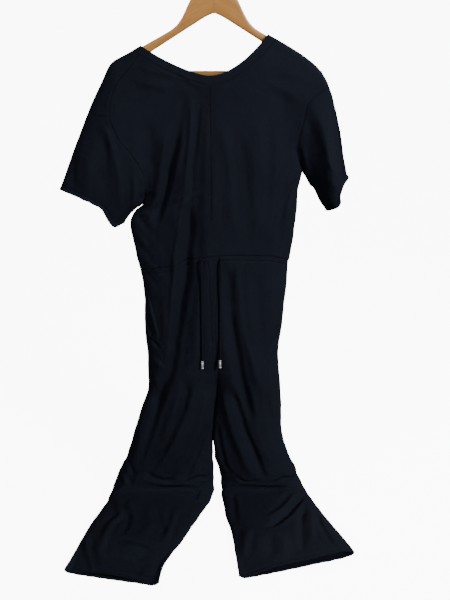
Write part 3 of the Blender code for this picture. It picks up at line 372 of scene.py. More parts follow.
# The hidden back, folded in the same way
backFolds = (
    (((-60, 300), (-74, 380), (-80, 470), (-92, 560)), 13, -3.4),
    (((-36, 320), (-44, 400), (-50, 500), (-60, 600)), 10, 2.4),
    (((30, 310), (44, 400), (52, 500), (60, 600)), 14, -3.0),
    (((72, 300), (84, 390), (90, 480), (92, 560)), 11, 2.2),
    (((110, 330), (122, 420), (128, 520)), 9, -2.2),
    (((-120, 340), (-132, 430), (-136, 520)), 10, -2.4),
    (((-2, 300), (2, 400), (-2, 520)), 12, 1.4),
    (((-168, 520), (-150, 535), (-128, 570)), 6, -2.0),
    (((172, 470), (158, 500), (140, 545)), 6, -2.0),
    (((-220, 330), (-214, 400), (-212, 470)), 9, 2.2),
    (((-240, 360), (-246, 420), (-250, 480)), 9, -2.0),
    (((214, 320), (226, 400), (240, 470)), 8, 2.2),
    (((-90, 650), (-98, 760), (-110, 880), (-128, 980)), 14, -3.0),
    (((-52, 660), (-58, 780), (-72, 900), (-96, 1020)), 11, 2.4),
    (((46, 660), (52, 780), (64, 900), (84, 1020), (104, 1110)), 13, -3.0),
    (((86, 660), (92, 780), (98, 900), (112, 1020)), 11, 2.2),
    (((-18, 900), (-40, 1000), (-76, 1090)), 10, -2.2),
    (((-140, 1000), (-160, 1080), (-180, 1130)), 9, -2.0),
    (((126, 900), (136, 1000), (150, 1090)), 9, -2.0),
    (((-60, 930), (-20, 945), (20, 945), (58, 930)), 9, -1.8),
)
folds = [dict(zip(foldColumns, row), side=side)
         for side, rows in (("front", frontFolds), ("back", backFolds)) for row in rows]
foldStrength = {"hung": 2.1, "lying": 2.8, "from": 1190, "over": 60}
# A fold's reach in half-widths, how much steeper one side is than the other, the low shoulders beside
# it, and how it dies away towards both ends
foldForm = {"reach": 3.0, "gentle": 0.8, "steep": 1.25, "shoulder": 0.28, "shoulderAt": 1.9,
            "shoulderSharp": 1.6, "taperShare": 0.3, "taperMost": 45, "endShare": 0.1}


# Points of one smooth curve through a line's own points
def smoothLine(points, step):
    line = np.array(points, float)
    ends = np.vstack([2 * line[0] - line[1], line, 2 * line[-1] - line[-2]])
    made = []
    for a, b, c, d in zip(ends, ends[1:], ends[2:], ends[3:]):
        count = max(1, round(float(np.linalg.norm(c - b)) / step))
        t = np.arange(count)[:, None] / count
        made.append(b + 0.5 * t * (c - a + t * (2 * a - 5 * b + 4 * c - d + t * (3 * (b - c) + d - a))))
    return np.vstack(made + [line[-1:]])


# The distance along a line at each of its points
def lineMarks(line):
    return np.concatenate([[0], np.cumsum(np.linalg.norm(np.diff(line, axis=0), axis=1))])


def ease(t):
    t = np.clip(t, 0.0, 1.0)
    return t * t * (3 - 2 * t)


for fold in folds:
    fold["line"] = smoothLine(fold["route"], 12)
    fold["marks"] = lineMarks(fold["line"])


# One fold's height at points
def foldHeight(fold, points):
    line, marks = fold["line"], fold["marks"]
    nearest, side, along = np.full(len(points), 1e9), np.zeros(len(points)), np.zeros(len(points))
    for k in range(len(line) - 1):
        run = line[k + 1] - line[k]
        gap = points - line[k]
        t = np.clip(gap @ run / (run @ run), 0, 1)
        gap = gap - t[:, None] * run
        distance = np.hypot(gap[:, 0], gap[:, 1])
        closer = distance < nearest
        nearest = np.where(closer, distance, nearest)
        side = np.where(closer, np.sign(run[0] * gap[:, 1] - run[1] * gap[:, 0]), side)
        along = np.where(closer, marks[k] + t * (marks[k + 1] - marks[k]), along)
    u = nearest / fold["wide"] * np.where(side > 0, foldForm["gentle"], foldForm["steep"])
    taper = min(foldForm["taperShare"] * marks[-1], foldForm["taperMost"])
    window = ease(foldForm["endShare"] + np.minimum(along, marks[-1] - along) / taper)
    shoulder = np.exp(-((u - foldForm["shoulderAt"]) ** 2) * foldForm["shoulderSharp"])
    return fold["high"] * window * (np.exp(-u * u) - foldForm["shoulder"] * shoulder)


# Uneven places and sizes of the small ripples: longer down the cloth than across it, and stronger
# where the legs crumple on the floor and where the waist is gathered
ripple = {"wide": 34, "long": 105, "high": 1.5, "fineWide": 15, "fineLong": 38, "fineHigh": 0.55,
          "crumpleAt": 1195, "crumpleReach": 60, "crumpleHigh": 1.5,
          "gatherAt": 634, "gatherReach": 26, "gatherWide": 8.5, "gatherHigh": 0.9}


def rippleHeight(x, at, front):
    made = np.zeros(len(x))
    crumple = np.exp(-((at - ripple["crumpleAt"]) / ripple["crumpleReach"]) ** 2)
    gather = np.exp(-((at - ripple["gatherAt"]) / ripple["gatherReach"]) ** 2)
    for k in range(len(x)):
        layer = 0.0 if front[k] else 9.0
        broad = noise.noise(Vector((x[k] / ripple["wide"], at[k] / ripple["long"], layer)))
        fine = noise.noise(Vector((x[k] / ripple["fineWide"], at[k] / ripple["fineLong"], layer + 3)))
        high = ripple["high"] * broad + ripple["fineHigh"] * fine
        if crumple[k] > 0.02:
            high += crumple[k] * ripple["crumpleHigh"] * noise.noise(
                Vector((x[k] / ripple["wide"], at[k] / ripple["fineLong"], layer + 5)))
        if gather[k] > 0.02:
            high += gather[k] * ripple["gatherHigh"] * noise.noise(
                Vector((x[k] / ripple["gatherWide"], at[k] / ripple["long"], layer + 7)))
        made[k] = high
    return made


layingAt = {"start": 1150, "end": 1200}  # where the hidden side comes to rest on the floor
sideFade = 10  # beside a side fold, where front and back meet
# The cloth keeps back from the cords
cordsAt = {"x": (-28.6, 12), "start": 606, "end": 890, "reach": 8, "fade": 20}

# Raw edges, which roll and wander: the cuffs and hems on both sides
rawEdges = {
    "front": (((-330, 474), (-298, 483), (-271, 494), (-246, 509), (-232, 524), (-221, 548), (-207, 552),
               (-196, 547)), ((278, 449), (268, 457), (263, 474), (267, 491), (255, 507), (238, 520)),
              ((-320, 1481), (-220, 1503), (-110, 1525)), ((45, 1502), (180, 1463), (322, 1425))),
    "back": (((-330, 474), (-290, 492), (-245, 518), (-196, 547)), ((278, 449), (262, 487), (238, 520)),
             ((-320, 1481), (-220, 1503), (-110, 1525)), ((45, 1502), (180, 1463), (322, 1425))),
}
rawEdge = {"rollAt": 2.2, "rollWide": 2.4, "rollHigh": 1.1, "grooveAt": 7.5, "grooveWide": 3.0,
           "grooveHigh": -1.0, "waveLong": 17, "waveDeep": 40, "waveHigh": 2.6, "waveReach": 14}
hemDrop = {"start": 1385, "end": 1490, "left": 15, "right": 13}
hemNotch = {"x": -131, "wide": 4.5, "high": 5, "from": 1495}  # where the left hem's edge folds back
# Sideways wander of the whole cloth, so that its outline isn't smooth
wander = {"from": 330, "full": 430, "long": 62, "high": 2.2, "fineLong": 21, "fineHigh": 0.8,
          "crumpleHigh": 3.4, "wide": 80}
# Local pulls at the cuffs and hems: where, how wide, how far sideways and how far down the cloth
edgePulls = ((278, 449, 7, 3.5, 0), (-244, 512, 13, 0, -5), (-214, 553, 10, 0, 3.5), (266, 486, 13, -5, 0),
             (228, 505, 22, -3, 1), (60, 1505, 60, 0, 2.5), (180, 1466, 90, 0, 2.5),
             (-206, 222, 30, -5, -3), (-152, 488, 26, 0, 16))
# The inner legs lean together below the crotch
legsClose = {"start": 920, "full": 940, "end": 1105, "fade": 40, "reach": 22, "by": 1.9,
             "x": (4, -2.5, -7.5, -5), "at": (951, 992, 1056, 1121)}


def distanceTo(lines, place):
    nearest = np.full(len(place), 1e9)
    for line in lines:
        line = smoothLine(line, 10)
        for a, b in zip(line, line[1:]):
            t = np.clip((place - a) @ (b - a) / ((b - a) @ (b - a)), 0, 1)
            gap = place - a - t[:, None] * (b - a)
            nearest = np.minimum(nearest, np.hypot(gap[:, 0], gap[:, 1]))
    return nearest


def waves(x, at, wide, long, layer):
    return np.array([noise.noise(Vector((a / wide, b / long, layer))) for a, b in zip(x, at)])


# Points of the cloth moved out or in by all the folds there, and sideways and down a little
def crease(points):
    at, off, way = clothPlace(points)
    x = points[:, 0]
    front = off > 0
    place = np.stack([x, at], -1)
    height = rippleHeight(x, at, front)
    lying = ease((at - foldStrength["from"]) / foldStrength["over"])
    strength = foldStrength["hung"] + (foldStrength["lying"] - foldStrength["hung"]) * lying
    for fold in folds:
        reach = foldForm["reach"] * fold["wide"]
        low, high = fold["line"].min(0) - reach, fold["line"].max(0) + reach
        near = front if fold["side"] == "front" else ~front
        near = np.nonzero(near & (place > low).all(1) & (place < high).all(1))[0]
        if len(near):
            height[near] += strength[near] * foldHeight(fold, place[near])
    for cordX in cordsAt["x"]:
        near = np.exp(-((x - cordX) / cordsAt["reach"]) ** 2)
        near = near * ease((cordsAt["end"] - at) / cordsAt["fade"])
        height = np.where(front & (height > 0) & (at > cordsAt["start"]), height * (1 - near), height)
    laid = ease((at - layingAt["start"]) / (layingAt["end"] - layingAt["start"]))
    height *= np.where(front, 1, 1 - laid)
    edge = np.where(front, distanceTo(rawEdges["front"], place), distanceTo(rawEdges["back"], place))
    onFloor = ~front & (laid > 0.5)
    roll = rawEdge["rollHigh"] * np.exp(-((edge - rawEdge["rollAt"]) / rawEdge["rollWide"]) ** 2)
    roll += rawEdge["grooveHigh"] * np.exp(-((edge - rawEdge["grooveAt"]) / rawEdge["grooveWide"]) ** 2)
    height += np.where(onFloor, 0, roll)
    height *= ease(np.abs(off) / sideFade)
    drop = np.where(x < 0, hemDrop["left"], hemDrop["right"])
    drop = drop * ease((at - hemDrop["start"]) / (hemDrop["end"] - hemDrop["start"]))
    height -= np.where(front, drop * ease(off / sideFade), 0)
    moved = points + way * (np.sign(off) * height)[:, None]
    # Down the cloth, at the raw edges
    ahead = np.stack([np.zeros(len(x)), way[:, 2], -way[:, 1]], -1) * -1.0
    slip = rawEdge["waveHigh"] * waves(x, off, rawEdge["waveLong"], rawEdge["waveDeep"], 21.0)
    slip *= np.exp(-(edge / rawEdge["waveReach"]) ** 2)
    slip -= np.where(front & (at > hemNotch["from"]),
                     hemNotch["high"] * np.exp(-((x - hemNotch["x"]) / hemNotch["wide"]) ** 2), 0)
    moved += ahead * slip[:, None]
    # Sideways
    crumple = np.exp(-((at - ripple["crumpleAt"]) / ripple["crumpleReach"]) ** 2)
    aside = wander["high"] * waves(x, at, wander["wide"], wander["long"], 13.0)
    aside += (wander["fineHigh"] + wander["crumpleHigh"] * crumple) * waves(
        x, at, wander["wide"], wander["fineLong"], 17.0)
    aside *= ease((at - wander["from"]) / (wander["full"] - wander["from"]))
    closing = ease((at - legsClose["start"]) / (legsClose["full"] - legsClose["start"]))
    closing *= ease((legsClose["end"] - at) / legsClose["fade"])
    between = x - np.interp(at, legsClose["at"], legsClose["x"])
    aside -= legsClose["by"] * closing * np.sign(between) * np.exp(-(between / legsClose["reach"]) ** 2)
    moved[:, 0] += aside
    for pullX, pullAt, reach, sideways, down in edgePulls:
        share = np.exp(-((x - pullX) ** 2 + (at - pullAt) ** 2) / reach ** 2)
        moved[:, 0] += sideways * share
        moved += ahead * (down * share)[:, None]
    return moved, at, off


def newObject(name, data):
    made = bpy.data.objects.new(name, data)
    bpy.context.scene.collection.objects.link(made)
    return made


def newMesh(name, vertices, faces):
    data = bpy.data.meshes.new(name)
    data.from_pydata([tuple(v) for v in vertices], [], faces)
    return newObject(name, data)


def selectOnly(made):
    bpy.ops.object.select_all(action="DESELECT")
    bpy.context.view_layer.objects.active = made
    made.select_set(True)


def turnOutward(made):
    form = bmesh.new()
    form.from_mesh(made.data)
    bmesh.ops.recalc_face_normals(form, faces=form.faces)
    form.to_mesh(made.data)
    form.free()


def finishModifier(made, kind, **settings):
    modifier = made.modifiers.new(kind.lower(), kind)
    for key, value in settings.items():
        setattr(modifier, key, value)
    selectOnly(made)
    bpy.ops.object.modifier_apply(modifier=modifier.name)


def meshPoints(made):
    points = np.empty(len(made.data.vertices) * 3, np.float32)
    made.data.vertices.foreach_get("co", points)
    return points.reshape(-1, 3).astype(float)


# How the solids' triangles are welded and joined to faces again (millimetres and degrees)
rejoin = {"weld": 0.02, "faceAngle": 50, "shapeAngle": 80}


# A smooth copy of a CAD node's form, its sharp edges kept
def smoothCopy(name, node, levels, sharp):
    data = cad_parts[node].data.copy()
    made = newObject(name, data)
    form = bmesh.new()
    form.from_mesh(data)
    bmesh.ops.remove_doubles(form, verts=form.verts, dist=rejoin["weld"] * mm)
    bmesh.ops.join_triangles(form, faces=form.faces,
                             angle_face_threshold=math.radians(rejoin["faceAngle"]),
                             angle_shape_threshold=math.radians(rejoin["shapeAngle"]))
    layer = form.edges.layers.float.new("crease_edge")
    for edge in form.edges:
        if len(edge.link_faces) != 2 or edge.calc_face_angle(0) > math.radians(sharp):
            edge[layer] = 1.0
    form.to_mesh(data)
    form.free()
    # Subdivision draws a form in at its bends, so it is first let out by as much
    trial = made.copy()
    trial.data = data.copy()
    bpy.context.scene.collection.objects.link(trial)
    finishModifier(trial, "SUBSURF", levels=1, render_levels=1)
    before = meshPoints(made)
    drawnIn = meshPoints(trial)[:len(before)] - before
    data.vertices.foreach_set("co", (before - drawnIn).ravel())
    bpy.data.objects.remove(trial)
    finishModifier(made, "SUBSURF", levels=levels, render_levels=levels)
    return made


def shadeSmooth(made, angle):
    selectOnly(made)
    bpy.ops.object.shade_smooth_by_angle(angle=math.radians(angle))
    made.select_set(False)


def give(made, finish, slot, *nodes):
    made.data.materials.clear()
    made.data.materials.append(finish)
    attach(made, "root")
    if nodes:
        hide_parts(*nodes)


# The cut pieces. The flat sizes are of the paper pattern, raw edges and all, width by length
cutColumns = ("finish", "levels", "flat", "area", "held", "restsOn")
cutRows = {
    "front_bodice": (jerseyFront, 3, (0.46, 0.42), 0.152, "hung", ("hanger_arms",)),
    "back_bodice": (jerseyFace, 3, (0.50, 0.47), 0.172, "hung", ("hanger_arms",)),
    "sleeve_left": (jerseyFace, 3, (0.36, 0.21), 0.052, "hung", ("hanger_arms",)),
    "sleeve_right": (jerseyFace, 3, (0.36, 0.21), 0.052, "hung", ("hanger_arms",)),
    "neckband": (jerseyBand, 3, (0.62, 0.02), None, "hung", ("hanger_arms",)),
    "waist_casing": (jerseyBand, 3, (0.67, 0.012), None, "hung", ()),
    "centre_strip": (jerseyFace, 3, (0.02, 0.33), None, "hung", ()),
    "trouser_front_left": (jerseyFace, 3, (0.245, 0.88), 0.165, "laid", ()),
    "trouser_front_right": (jerseyFace, 3, (0.245, 0.88), 0.165, "laid", ()),
    "trouser_back_left": (jerseyFace, 3, (0.25, 0.90), 0.178, "laid", ()),
    "trouser_back_right": (jerseyFace, 3, (0.25, 0.90), 0.178, "laid", ()),
}
seamAngle = 62  # a cut edge's faces stand at more than this, so it stays sharp
rimAngle = 45  # and in the smooth copy its rim is found by this
clothHalf = 165  # half the cloth's width: the knit runs on round the side folds
# Neighbouring pieces are drawn together at their seams, which sink between two low banks
seam = {"reach": 4.0, "spread": 9.0, "valleyWide": 1.5, "valleyHigh": -0.5, "bankAt": 4.2, "bankWide": 2.4,
        "bankHigh": 0.2}


def cutEdgePoints(made):
    form = bmesh.new()
    form.from_mesh(made.data)
    marked = {v.index for edge in form.edges if edge.calc_face_angle(0) > math.radians(rimAngle)
              for v in edge.verts}
    form.free()
    return np.array(sorted(marked), int)


clothPieces = {node: smoothCopy("cloth_" + node, node, cutRows[node][1], seamAngle) for node in cutRows}
shapes = {node: meshPoints(shell) / mm for node, shell in clothPieces.items()}

# The solids' trouser fronts and backs stand apart at the side seams; here their rims are drawn together
sideSeam = {"from": 600, "to": 1540, "step": 12, "rimDeep": 3, "reach": 14, "gap": 0.15}
for hand, sign in (("left", -1), ("right", 1)):
    for node in ("trouser_front_" + hand, "trouser_back_" + hand):
        points = shapes[node]
        at, off, way = clothPlace(points)
        outward = sign * points[:, 0]
        rims = []
        for mark in range(sideSeam["from"], sideSeam["to"], sideSeam["step"]):
            near = np.nonzero(np.abs(at - mark) < sideSeam["step"])[0]
            if len(near):
                outermost = outward[near].max()
                rim = near[outward[near] > outermost - sideSeam["rimDeep"]]
                rims.append((mark, outermost, np.abs(off[rim]).min()))
        marks, outX, rimOff = np.array(rims).T
        inside = (np.interp(at, marks, outX) - outward) / sideSeam["reach"]
        shift = (np.interp(at, marks, rimOff) - sideSeam["gap"]) * np.exp(-inside * inside)
        shapes[node] = points - way * (np.sign(off) * shift)[:, None]
trees = {}
for node, shell in clothPieces.items():
    faces = [tuple(face.vertices) for face in shell.data.polygons]
    trees[node] = BVHTree.FromPolygons([tuple(v) for v in shapes[node]], faces)
print("cloth copied")
seamGaps = {}
for node, shell in clothPieces.items():
    points = shapes[node]
    rims = cutEdgePoints(shell)
    pulls, kept = [], []
    for k in rims:
        spot = Vector(points[k])
        best, gap = None, seam["reach"]
        for other, tree in trees.items():
            if other != node:
                hit = tree.find_nearest(spot, gap)
                if hit[0] is not None and hit[3] < gap:
                    best, gap = hit[0], hit[3]
        if best is not None:
            pulls.append(0.5 * np.array(best - spot))
            kept.append(k)
    index = KDTree(max(1, len(kept)))
    for i, k in enumerate(kept):
        index.insert(Vector(points[k]), i)
    index.balance()
    moved, away = points.copy(), np.full(len(points), 1e9)
    for k in range(len(points)) if kept else ():
        near, i, distance = index.find(Vector(points[k]))
        away[k] = distance
        if distance < seam["spread"]:
            share = 1 - distance / seam["spread"]
            moved[k] += pulls[i] * share * share * (3 - 2 * share)
    shapes[node], seamGaps[node] = moved, away
print("seams drawn together")
for node, row in cutRows.items():
    cut = dict(zip(cutColumns, row))
    shell = clothPieces[node]
    moved, at, off = crease(shapes[node])
    away = seamGaps[node]
    sink = seam["valleyHigh"] * np.exp(-(away / seam["valleyWide"]) ** 2)
    sink += seam["bankHigh"] * np.exp(-((away - seam["bankAt"]) / seam["bankWide"]) ** 2)
    moved += clothPlace(moved)[2] * (np.sign(off) * sink * ease(np.abs(off) / sideFade))[:, None]
    moved[:, 2] = np.maximum(moved[:, 2], floorLevel)
    shell.data.vertices.foreach_set("co", (moved * mm).ravel())
    corners = np.empty(len(shell.data.loops), np.int32)
    shell.data.loops.foreach_get("vertex_index", corners)
    place = np.stack([moved[:, 0] * (1 + np.abs(off) / clothHalf), at], -1) * mm
    clothMap = shell.data.uv_layers.new(name="clothMap")
    clothMap.data.foreach_set("uv", place[corners].ravel())
    beside = shell.data.attributes.new("besideCentre", "FLOAT", "POINT")
    besideCentre = moved[:, 0] - np.interp(at, centreLine["at"], centreLine["x"])
    beside.data.foreach_set("value", besideCentre * mm)
    shell.data.update()
    shadeSmooth(shell, 50)
    slot = "neck_rib" if node == "neckband" else "sweatshirt_jersey"
    give(shell, cut["finish"], slot, node)
print("cloth made")

# Two round drawcords leave the casing's eyelets, bend over their rims and hang down the front.
# The routes repeat those of the solids
drawcord = {"diameter": 4.0, "step": 0.6, "sides": 24, "plait": 5.0, "relief": 0.16, "strands": 4,
            "strandMiddle": 0.8, "endWidths": (0.82, 0.96, 1)}
cordRoute = {
    "left": {"x": (-28.5, -28.5, -28.5, -28.5, -28.5, -28.6, -28.7, -28.8, -29),
             "y": (-46.7, -48.9, -50.3, -50.8, -50.7, -50.3, -50.1, -50.1, -50.1),
             "z": (-621.3, -623.6, -626.8, -631, -641, -655, -700, -780, -850)},
    "right": {"x": (12.6, 12.6, 12.5, 12.5, 12.4, 12.2, 11.6, 11, 10.5),
              "y": (-45.5, -47.7, -49.3, -50.2, -50.6, -50.6, -50.6, -50.6, -50.6),
              "z": (-616.5, -618.8, -622, -626.3, -636, -655, -700, -780, -848)},
}


# A tube along a line, its surface a round plait of crossing strands
def plaitedCord(name, line):
    step = drawcord["step"]
    along = lineMarks(line)
    count = int(along[-1] / step) + 1
    places = np.linspace(0, along[-1], count)
    middle = np.stack([np.interp(places, along, line[:, k]) for k in range(3)], -1)
    heading = np.gradient(middle, axis=0)
    heading /= np.linalg.norm(heading, axis=1)[:, None]
    side = np.cross(heading, (0, 1, 0.3))
    side /= np.linalg.norm(side, axis=1)[:, None]
    other = np.cross(heading, side)
    turns = np.arange(drawcord["sides"]) * 2 * math.pi / drawcord["sides"]
    half = drawcord["strands"] / 2
    vertices, faces = [], []
    for k in range(count):
        twist = 2 * math.pi * places[k] / (drawcord["plait"] * drawcord["strands"] / 2)
        oneWay, otherWay = (np.abs(np.cos(half * angle)) for angle in (turns + twist, turns - twist))
        strand = np.maximum(oneWay, otherWay)
        radius = drawcord["diameter"] / 2 + drawcord["relief"] * (strand - drawcord["strandMiddle"]) * 2
        radius = radius * drawcord["endWidths"][min(k, count - 1 - k, 2)]
        ring = middle[k] + (np.cos(turns) * radius)[:, None] * side[k]
        vertices.extend((ring + (np.sin(turns) * radius)[:, None] * other[k]) * mm)
    n = drawcord["sides"]
    for k in range(count - 1):
        for j in range(n):
            i = (j + 1) % n
            faces.append((k * n + j, k * n + i, (k + 1) * n + i, (k + 1) * n + j))
    faces.append(tuple(range(n))[::-1])
    faces.append(tuple(range((count - 1) * n, count * n)))
    made = newMesh(name, vertices, faces)
    turnOutward(made)
    shadeSmooth(made, 60)
    return made


# A metal tip rolled from sheet: a rounded foot, a plain barrel with a crimp groove near each end and
# an open rim that takes the cord
cordTip = {"shown": 18.8, "diameter": 5.6, "sides": 40}
tipRows = ((0.0, 0.8), (0.15, 0.92), (0.5, 1.0), (2.6, 1.0), (2.9, 0.94), (3.3, 0.94), (3.6, 1.0),
           (15.2, 1.0), (15.5, 0.94), (15.9, 0.94), (16.2, 1.0), (18.5, 1.0), (18.7, 0.97), (18.8, 0.88),
           (17.9, 0.8))


def tipShape(name, node):
    low, high = (np.array(corner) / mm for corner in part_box(node))
    middle = (low + high) / 2
    foot = high[2] - cordTip["shown"]
    radius = cordTip["diameter"] / 2
    bpy.ops.object.select_all(action="DESELECT")
    bpy.ops.mesh.primitive_circle_add(vertices=cordTip["sides"], radius=radius * tipRows[0][1] * mm,
                                      fill_type="NGON",
                                      location=(middle[0] * mm, middle[1] * mm, foot * mm))
    made = bpy.context.object
    made.name = name
    bpy.ops.object.mode_set(mode="EDIT")
    bpy.ops.mesh.select_all(action="SELECT")
    for (lastHeight, lastWidth), (height, width) in zip(tipRows, tipRows[1:]):
        bpy.ops.mesh.extrude_region_move(
            TRANSFORM_OT_translate={"value": (0, 0, (height - lastHeight) * mm)})
        bpy.ops.transform.resize(value=(width / lastWidth, width / lastWidth, 1))
    bpy.ops.mesh.select_all(action="SELECT")
    bpy.ops.mesh.normals_make_consistent(inside=False)
    bpy.ops.object.mode_set(mode="OBJECT")
    bpy.ops.object.transform_apply(location=True, rotation=True, scale=True)
    shadeSmooth(made, 35)
    return made


for hand, route in cordRoute.items():
    own = np.stack([route["x"], route["y"], route["z"]], -1)
    line = smoothLine(own, drawcord["diameter"])
    length = float(np.linalg.norm(np.diff(line, axis=0), axis=1).sum())
    tip = tipShape("tip_" + hand, "cord_tip_" + hand)
    give(tip, satinSteel, "polished_steel", "cord_tip_" + hand)
    cord = plaitedCord("cord_" + hand, line)
    give(cord, cordCotton, "cord_cotton", "drawcord_" + hand)
print("cords and tips made")

# Hanger: beech arms, round bar and steel hook as smooth copies of their solids
hangerPieces = {"hanger_arms": ("hanger_arms_wood", 2, 40, beechArms, "beech"),
                "hanger_bar": ("hanger_bar_wood", 2, 50, beechBar, "beech"),
                "hanger_hook": ("hanger_hook_wire", 2, 60, steel, "polished_steel")}
for node, (name, levels, sharp, finish, slot) in hangerPieces.items():
    made = smoothCopy(name, node, levels, sharp)
    shadeSmooth(made, 50)
    give(made, finish, slot, node)
print("hanger made")

# Sewing. A stitch is a short thread that dips into the cloth at both ends
stitch = {"length": 2.3, "wide": 0.62, "high": 0.5, "pitch": 3.1, "sides": 6, "sink": 0.12}
stitchRows = ((0, 0.2, -0.35), (0.12, 0.8, 0.1), (0.32, 1, 0.5), (0.68, 1, 0.5), (0.88, 0.8, 0.1),
              (1, 0.2, -0.35))
allCloth = bmesh.new()
for shell in clothPieces.values():
    allCloth.from_mesh(shell.data)
clothTree = BVHTree.FromBMesh(allCloth)
allCloth.free()


lookFrom = 110  # farther out than the hanging cloth stands from its middle


# Where the hanging cloth's outside is, at x and a distance down the cloth, seen from its own side
def onCloth(x, at, side):
    middle, out = Vector((x, 0, -at)), Vector((0, 1 if side == "back" else -1, 0))
    hit, normal, index, distance = clothTree.ray_cast((middle + out * lookFrom) * mm, -out)
    if hit is None:
        return None, None
    if normal.dot(out) < 0:
        normal = -normal
    return hit / mm, normal


def addStitch(vertices, faces, start, run, normal, length, wide):
    across = normal.cross(run).normalized()
    up = run.cross(across).normalized()
    n = stitch["sides"]
    first = len(vertices)
    for share, thick, rise in stitchRows:
        middle = start + run * (share * length) + up * (rise * stitch["high"] - stitch["sink"])
        for k in range(n):
            turn = 2 * math.pi * k / n
            vertices.append((middle + across * (math.cos(turn) * wide / 2 * thick)
                             + up * (math.sin(turn) * stitch["high"] / 2 * thick)) * mm)
    for r in range(len(stitchRows) - 1):
        for k in range(n):
            i = (k + 1) % n
            a, b = first + r * n, first + (r + 1) * n
            faces.append((a + k, a + i, b + i, b + k))
    faces.append(tuple(range(first, first + n))[::-1])
    faces.append(tuple(range(first + (len(stitchRows) - 1) * n, first + len(stitchRows) * n)))


def threadPiece(name, vertices, faces):
    made = newMesh(name, vertices, faces)
    turnOutward(made)
    shadeSmooth(made, 80)
    give(made, thread, "sweatshirt_jersey")


# A row of stitches beside a line of x and distance down the cloth, aside of it by a few millimetres
def sewRow(vertices, faces, route, side, aside):
    line = smoothLine(route, 4)
    along = lineMarks(line)
    pitch = stitch["pitch"]
    for k in range(int(along[-1] / pitch)):
        ends = []
        for place in (k * pitch, k * pitch + stitch["length"]):
            behind, near, ahead = (np.array([np.interp(place + step, along, line[:, c]) for c in (0, 1)])
                                   for step in (-0.5, 0, 0.5))
            run = (ahead - behind) / (np.linalg.norm(ahead - behind) + 1e-9)
            spot = near + aside * np.array((-run[1], run[0]))
            ends.append(onCloth(float(spot[0]), float(spot[1]), side))
        (start, normal), (end, other) = ends
        if start is None or end is None or (end - start).length > 2 * stitch["length"]:
            continue
        run = end - start
        addStitch(vertices, faces, start, run.normalized(), normal, run.length, stitch["wide"])


# The neck seam, as the pattern draws it: each side falls from the shoulders as a power curve
neck = {"centre": -9, "left": (-150, 206, 1.45), "right": (116, 177, 1.8), "low": 262, "points": 25,
        "rowsAside": (2.2, 4.8)}


def neckSeamRow():
    rows = []
    shares = np.linspace(0, 1, neck["points"])
    for hand, own in (("left", np.linspace(1, 0, neck["points"])[:-1]), ("right", shares)):
        corner, cornerAt, power = neck[hand]
        for share in own:
            rows.append((neck["centre"] + (corner - neck["centre"]) * share,
                         neck["low"] + (cornerAt - neck["low"]) * share ** power))
    return rows


seamRows = {
    "sewing_centre_front": (
        (((-8, 266), (-7.4, 350), (-6.6, 450), (-6, 536)), "front", (-3.4, 3.4)),),
    "sewing_armhole_left": (
        (((-212, 326), (-197, 365), (-164, 409), (-147, 458), (-147, 474)), "front", (3.0,)),),
    "sewing_armhole_right": (
        (((208, 271), (196, 281), (180, 339), (172, 389), (177, 416)), "front", (-3.0,)),),
    "sewing_casing": (
        (((-160, 653.5), (-130, 645), (-84, 635), (-53, 622), (-25, 617), (19, 612), (86, 614),
          (130, 620), (158, 632)), "front", (0.6, 7.8)),
        (((-160, 654), (-80, 638), (0, 630), (80, 630), (158, 632)), "back", (0.6, 7.0))),
    "sewing_centre_strip": (
        (((-14.5, 640), (-11, 704), (-8, 800), (-3.5, 880), (0, 925)), "front", (2.6,)),
        (((7.5, 640), (7.5, 704), (6.5, 800), (5.5, 880), (5, 925)), "front", (-2.6,))),
    "sewing_hip": (
        (((-150, 712), (-133, 779), (-127, 813)), "front", (2.0, 4.4)),),
}
for name, rows in seamRows.items():
    vertices, faces = [], []
    for route, side, asides in rows:
        for aside in asides:
            sewRow(vertices, faces, route, side, aside)
    threadPiece(name, vertices, faces)
vertices, faces = [], []
for aside in neck["rowsAside"]:
    sewRow(vertices, faces, neckSeamRow()[2:-2], "front", -aside)
threadPiece("sewing_neck", vertices, faces)

# The bar tack at the foot of the centre line: close stitches across it
barTack = {"x": -10.5, "at": 532, "count": 9, "pitch": 0.75, "length": 9.0}
vertices, faces = [], []
for k in range(barTack["count"]):
    start, normal = onCloth(barTack["x"], barTack["at"] + k * barTack["pitch"], "front")
    addStitch(vertices, faces, start, Vector((1, 0, 0)), normal, barTack["length"], barTack["pitch"])
threadPiece("sewing_bar_tack", vertices, faces)

# Eyelets: a worked ring of thread round each hole
eyelet = {"inner": 4.8, "outer": 8.0, "loops": 34, "wide": 0.8, "lean": 0.1, "lift": 0.1, "past": 0.3}
for hand in cordRoute:
    low, high = (Vector(corner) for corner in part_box("eyelet_" + hand))
    middle = (low + high) / 2 / mm
    vertices, faces = [], []
    normal = Vector((0, -1, eyelet["lean"])).normalized()
    side = normal.cross(Vector((0, 0, 1))).normalized()
    other = normal.cross(side).normalized()
    for k in range(eyelet["loops"]):
        turn = 2 * math.pi * k / eyelet["loops"]
        out = side * math.cos(turn) + other * math.sin(turn)
        start = middle + out * (eyelet["inner"] / 2) + normal * eyelet["lift"]
        length = (eyelet["outer"] - eyelet["inner"]) / 2 + eyelet["past"]
        addStitch(vertices, faces, start, out, normal, length, eyelet["wide"])
    threadPiece("worked_eyelet_" + hand, vertices, faces)
    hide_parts("eyelet_" + hand)
print("sewing made")

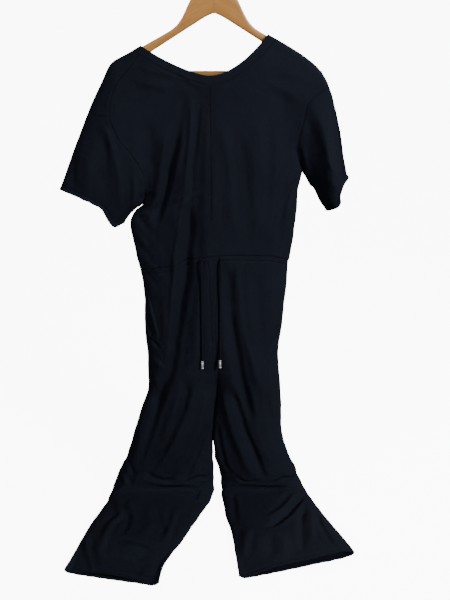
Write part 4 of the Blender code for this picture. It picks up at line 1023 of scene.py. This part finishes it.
# Studio: a pale floor that curves up behind, soft light from above and the front
studio = {"floor": -1.2292, "wide": 12.0, "front": -6.0, "back": 3.5, "rise": 6.0, "bendRadius": 1.2,
          "bendSteps": 12, "glow": 9.0, "around": 0.18}
profile = [(studio["front"], studio["floor"]), (studio["back"] - studio["bendRadius"], studio["floor"])]
for k in range(1, studio["bendSteps"] + 1):
    turn = math.pi / 2 * k / studio["bendSteps"]
    profile.append((studio["back"] - studio["bendRadius"] * (1 - math.sin(turn)),
                    studio["floor"] + studio["bendRadius"] * (1 - math.cos(turn))))
profile.append((studio["back"], studio["floor"] + studio["rise"]))
vertices = [(sign * studio["wide"] / 2, y, z) for y, z in profile for sign in (-1, 1)]
faces = [(2 * k, 2 * k + 1, 2 * k + 3, 2 * k + 2) for k in range(len(profile) - 1)]
paper = newMesh("studio_paper", vertices, faces)
paperMaterial, tree, shader = newMaterial("matt white studio paper", {
    "Base Color": linear("#f4f4f3"), "Roughness": 0.9, "Specular IOR Level": 0.2,
    "Emission Color": linear("#ffffff"), "Emission Strength": studio["glow"]})
paper.data.materials.append(paperMaterial)
paper.visible_diffuse = False
paper.visible_glossy = False
shadeSmooth(paper, 40)

world = bpy.data.worlds.new("soft studio")
bpy.context.scene.world = world
world.use_nodes = True
background = world.node_tree.nodes["Background"]
background.inputs["Color"].default_value = linear("#ffffff")
background.inputs["Strength"].default_value = studio["around"]


def softLight(name, place, aim, size, power):
    data = bpy.data.lights.new(name, "AREA")
    data.shape, data.size, data.size_y, data.energy = "RECTANGLE", size[0], size[1], power
    made = newObject(name, data)
    made.location = place
    made.rotation_euler = (Vector(aim) - Vector(place)).to_track_quat("-Z", "Y").to_euler()


softLight("key", (2.0, -2.3, 0.55), (0, 0, -0.5), (0.8, 0.8), 212)
softLight("fill", (-1.8, -2.0, 0.9), (0, 0, -0.6), (1.2, 1.2), 46)
softLight("back", (0.9, 2.0, 1.0), (0, 0, -0.6), (1.6, 1.6), 60)

# The camera, at the photograph's angle
lens = {"focal": 42.96, "sensor": 36.0, "place": (0.0215, -1.52, -0.215), "tilt": 18.5}
cameraData = bpy.data.cameras.new("camera")
cameraData.lens, cameraData.sensor_width, cameraData.sensor_fit = lens["focal"], lens["sensor"], "AUTO"
camera = newObject("camera", cameraData)
camera.location = lens["place"]
camera.rotation_euler = (math.radians(90 - lens["tilt"]), 0, 0)
bpy.context.scene.camera = camera
print("studio made")
